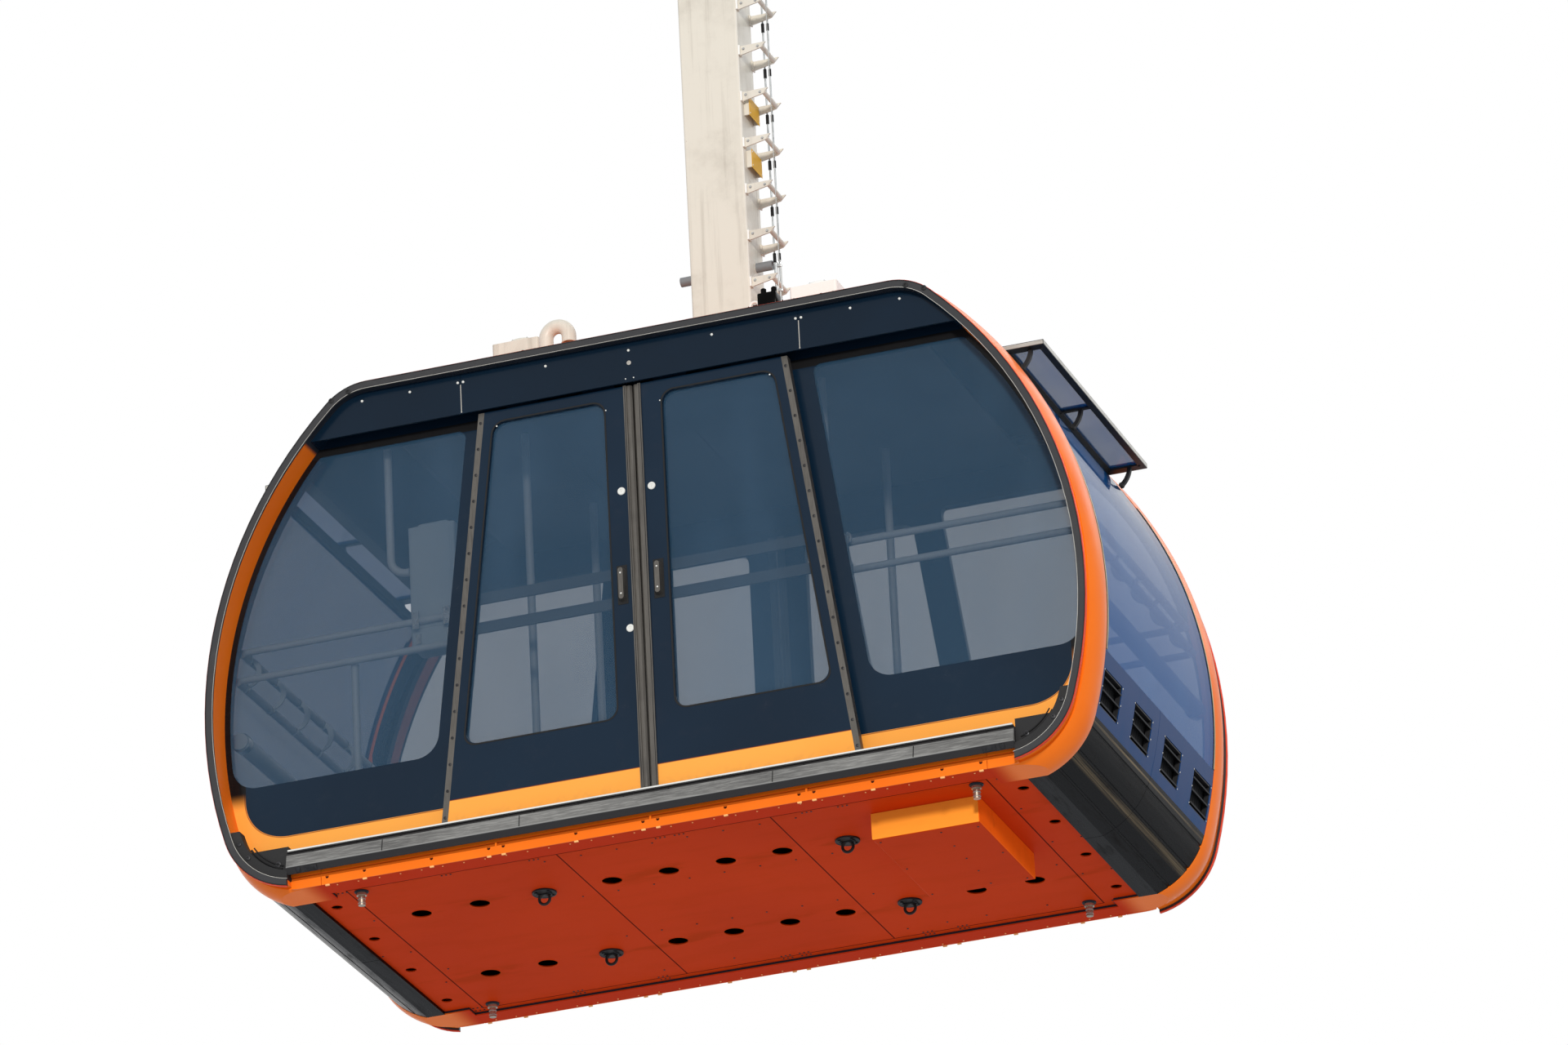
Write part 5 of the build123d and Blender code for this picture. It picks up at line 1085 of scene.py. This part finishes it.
for x in ROOF_BOXES:
    turned(((0.013, -0.0005), (0.013, 0.006), (0.009, 0.009), (0, 0.009)),
           spot(x + 0.04, -0.534, 2.72), WALLWARD, 14)
block(spot(0.526, -0.509, 2.755), (0.096, 0.078, 0.07), 0.008, segments=2)
for x in (0.5, 0.552):
    rod(spot(x, -0.509, 2.785), spot(x, -0.509, 2.825), 0.014, 12)
for sign in BOTH:
    block(spot(0.4525 + sign * 0.022, -0.475, 2.62), (0.01, 0.012, 0.29), 0.002,
          tilted(sign * 0.12, "Y"))
block(spot(0.4525, -0.475, 2.76), (0.04, 0.012, 0.01), 0.002)
add_piece("roof_glands", COVER)

ring(spot(-0.452, PIPE[1], 2.6925), UP, 0.0345, 0.0035, 24)
ring(spot(*PIPE, 2.5), UP, 0.037, 0.005, 24)
turned(FLANGE, spot(*PIPE, ROOF), UP, 24)
for across, along in circle(4, 0.047, pi / 4):
    nut(spot(PIPE[0] + across, PIPE[1] + along, ROOF + 0.007), UP, 0.005, 0.005)
add_piece("gooseneck_rims", CREAM)


# Carriage: nuts on axles and pins, bolts of clamps and damper. Heights count from the rope here
NUTS = [(0.45 * (index - 3.5), 0.064, 0.18, 0.02) for index in range(8)]
NUTS += [(x, 0.092, 0.31, 0.026) for x in (-1.35, -0.45, 0.45, 1.35)]
NUTS += [(x, 0.125, 0.46, 0.03) for x in (-0.9, 0.9)]
PIN_HEIGHT = 0.6
for x, face, height, radius in NUTS:
    for out in BOTH:
        nut((x, out * face, height), (0, out, 0), radius, radius * 0.9)
for x in (-0.62, 0.62):
    for y in (0.135, 0.175):
        for shift in (-0.065, 0.065):
            nut((x + shift, y, 0.5486), UP, 0.01, 0.01)
for x, height in circle(8, 0.115):
    nut((x, -0.2143, PIN_HEIGHT + height), (0, -1, 0), 0.01, 0.009)
nut((0, 0.1803, PIN_HEIGHT), (0, 1, 0), 0.046, 0.032)
add_piece("pin_nuts", STEEL, "carriage")


# Studio: pale floor, soft lamps
def studio_world():
    """White where it is seen, itself or in a pane; pale blue-grey where it lights."""
    world = bpy.data.worlds.new("studio")
    bpy.context.scene.world = world
    nodes = Nodes(world)
    seen, glossy, through = [nodes.node("LightPath", out=ray)
                             for ray in ("Is Camera Ray", "Is Glossy Ray", "Is Transmission Ray")]
    shade = nodes.blend(seen.most(glossy).most(through), (0.44, 0.47, 0.52), (1, 1, 1))
    nodes.feed(nodes.tree.nodes["Background"].inputs["Color"], shade)


def studio_floor():
    """Pale plane under everything, clear when it is seen from below."""
    mesh = bpy.data.meshes.new("studio_floor")
    below = Matrix.Translation((0, 0, -22.4))
    bmesh.ops.create_grid(shape, x_segments=1, y_segments=1, size=700, matrix=below)
    shape.to_mesh(mesh)
    floor = bpy.data.objects.new("studio_floor", mesh)
    bpy.context.scene.collection.objects.link(floor)
    finish = Finish("pale_floor", Roughness=0.9)
    finish.set(Base_Color=finish.blend(finish.cloud(0.4), (0.8, 0.8, 0.8), (0.84, 0.84, 0.84)))
    clear = finish.node("BsdfTransparent")
    under = finish.node("NewGeometry", out="Backfacing")
    both = finish.node("MixShader", None, {0: under, 1: Level(finish, finish.surface.outputs[0]), 2: clear})
    finish.feed(finish.tree.nodes["Material Output"].inputs["Surface"], both)
    mesh.materials.append(finish.material)


def lamp(name, towards, energy, angle, colour):
    data = bpy.data.lights.new(name, "SUN")
    data.energy = energy
    data.angle = radians(angle)
    data.color = colour
    made = bpy.data.objects.new(name, data)
    made.rotation_euler = Vector(towards).to_track_quat("-Z", "Y").to_euler()
    bpy.context.scene.collection.objects.link(made)


studio_world()
studio_floor()
lamp("key_lamp", (-0.3, 0.94, -0.1), 2, 6, (1, 0.96, 0.9))
lamp("fill_lamp", (-0.3, -0.62, -0.72), 0.8, 40, (0.94, 0.97, 1))
lamp("bounce_lamp", (-0.1, 0.25, 0.9), 0.3, 60, (1, 0.93, 0.86))
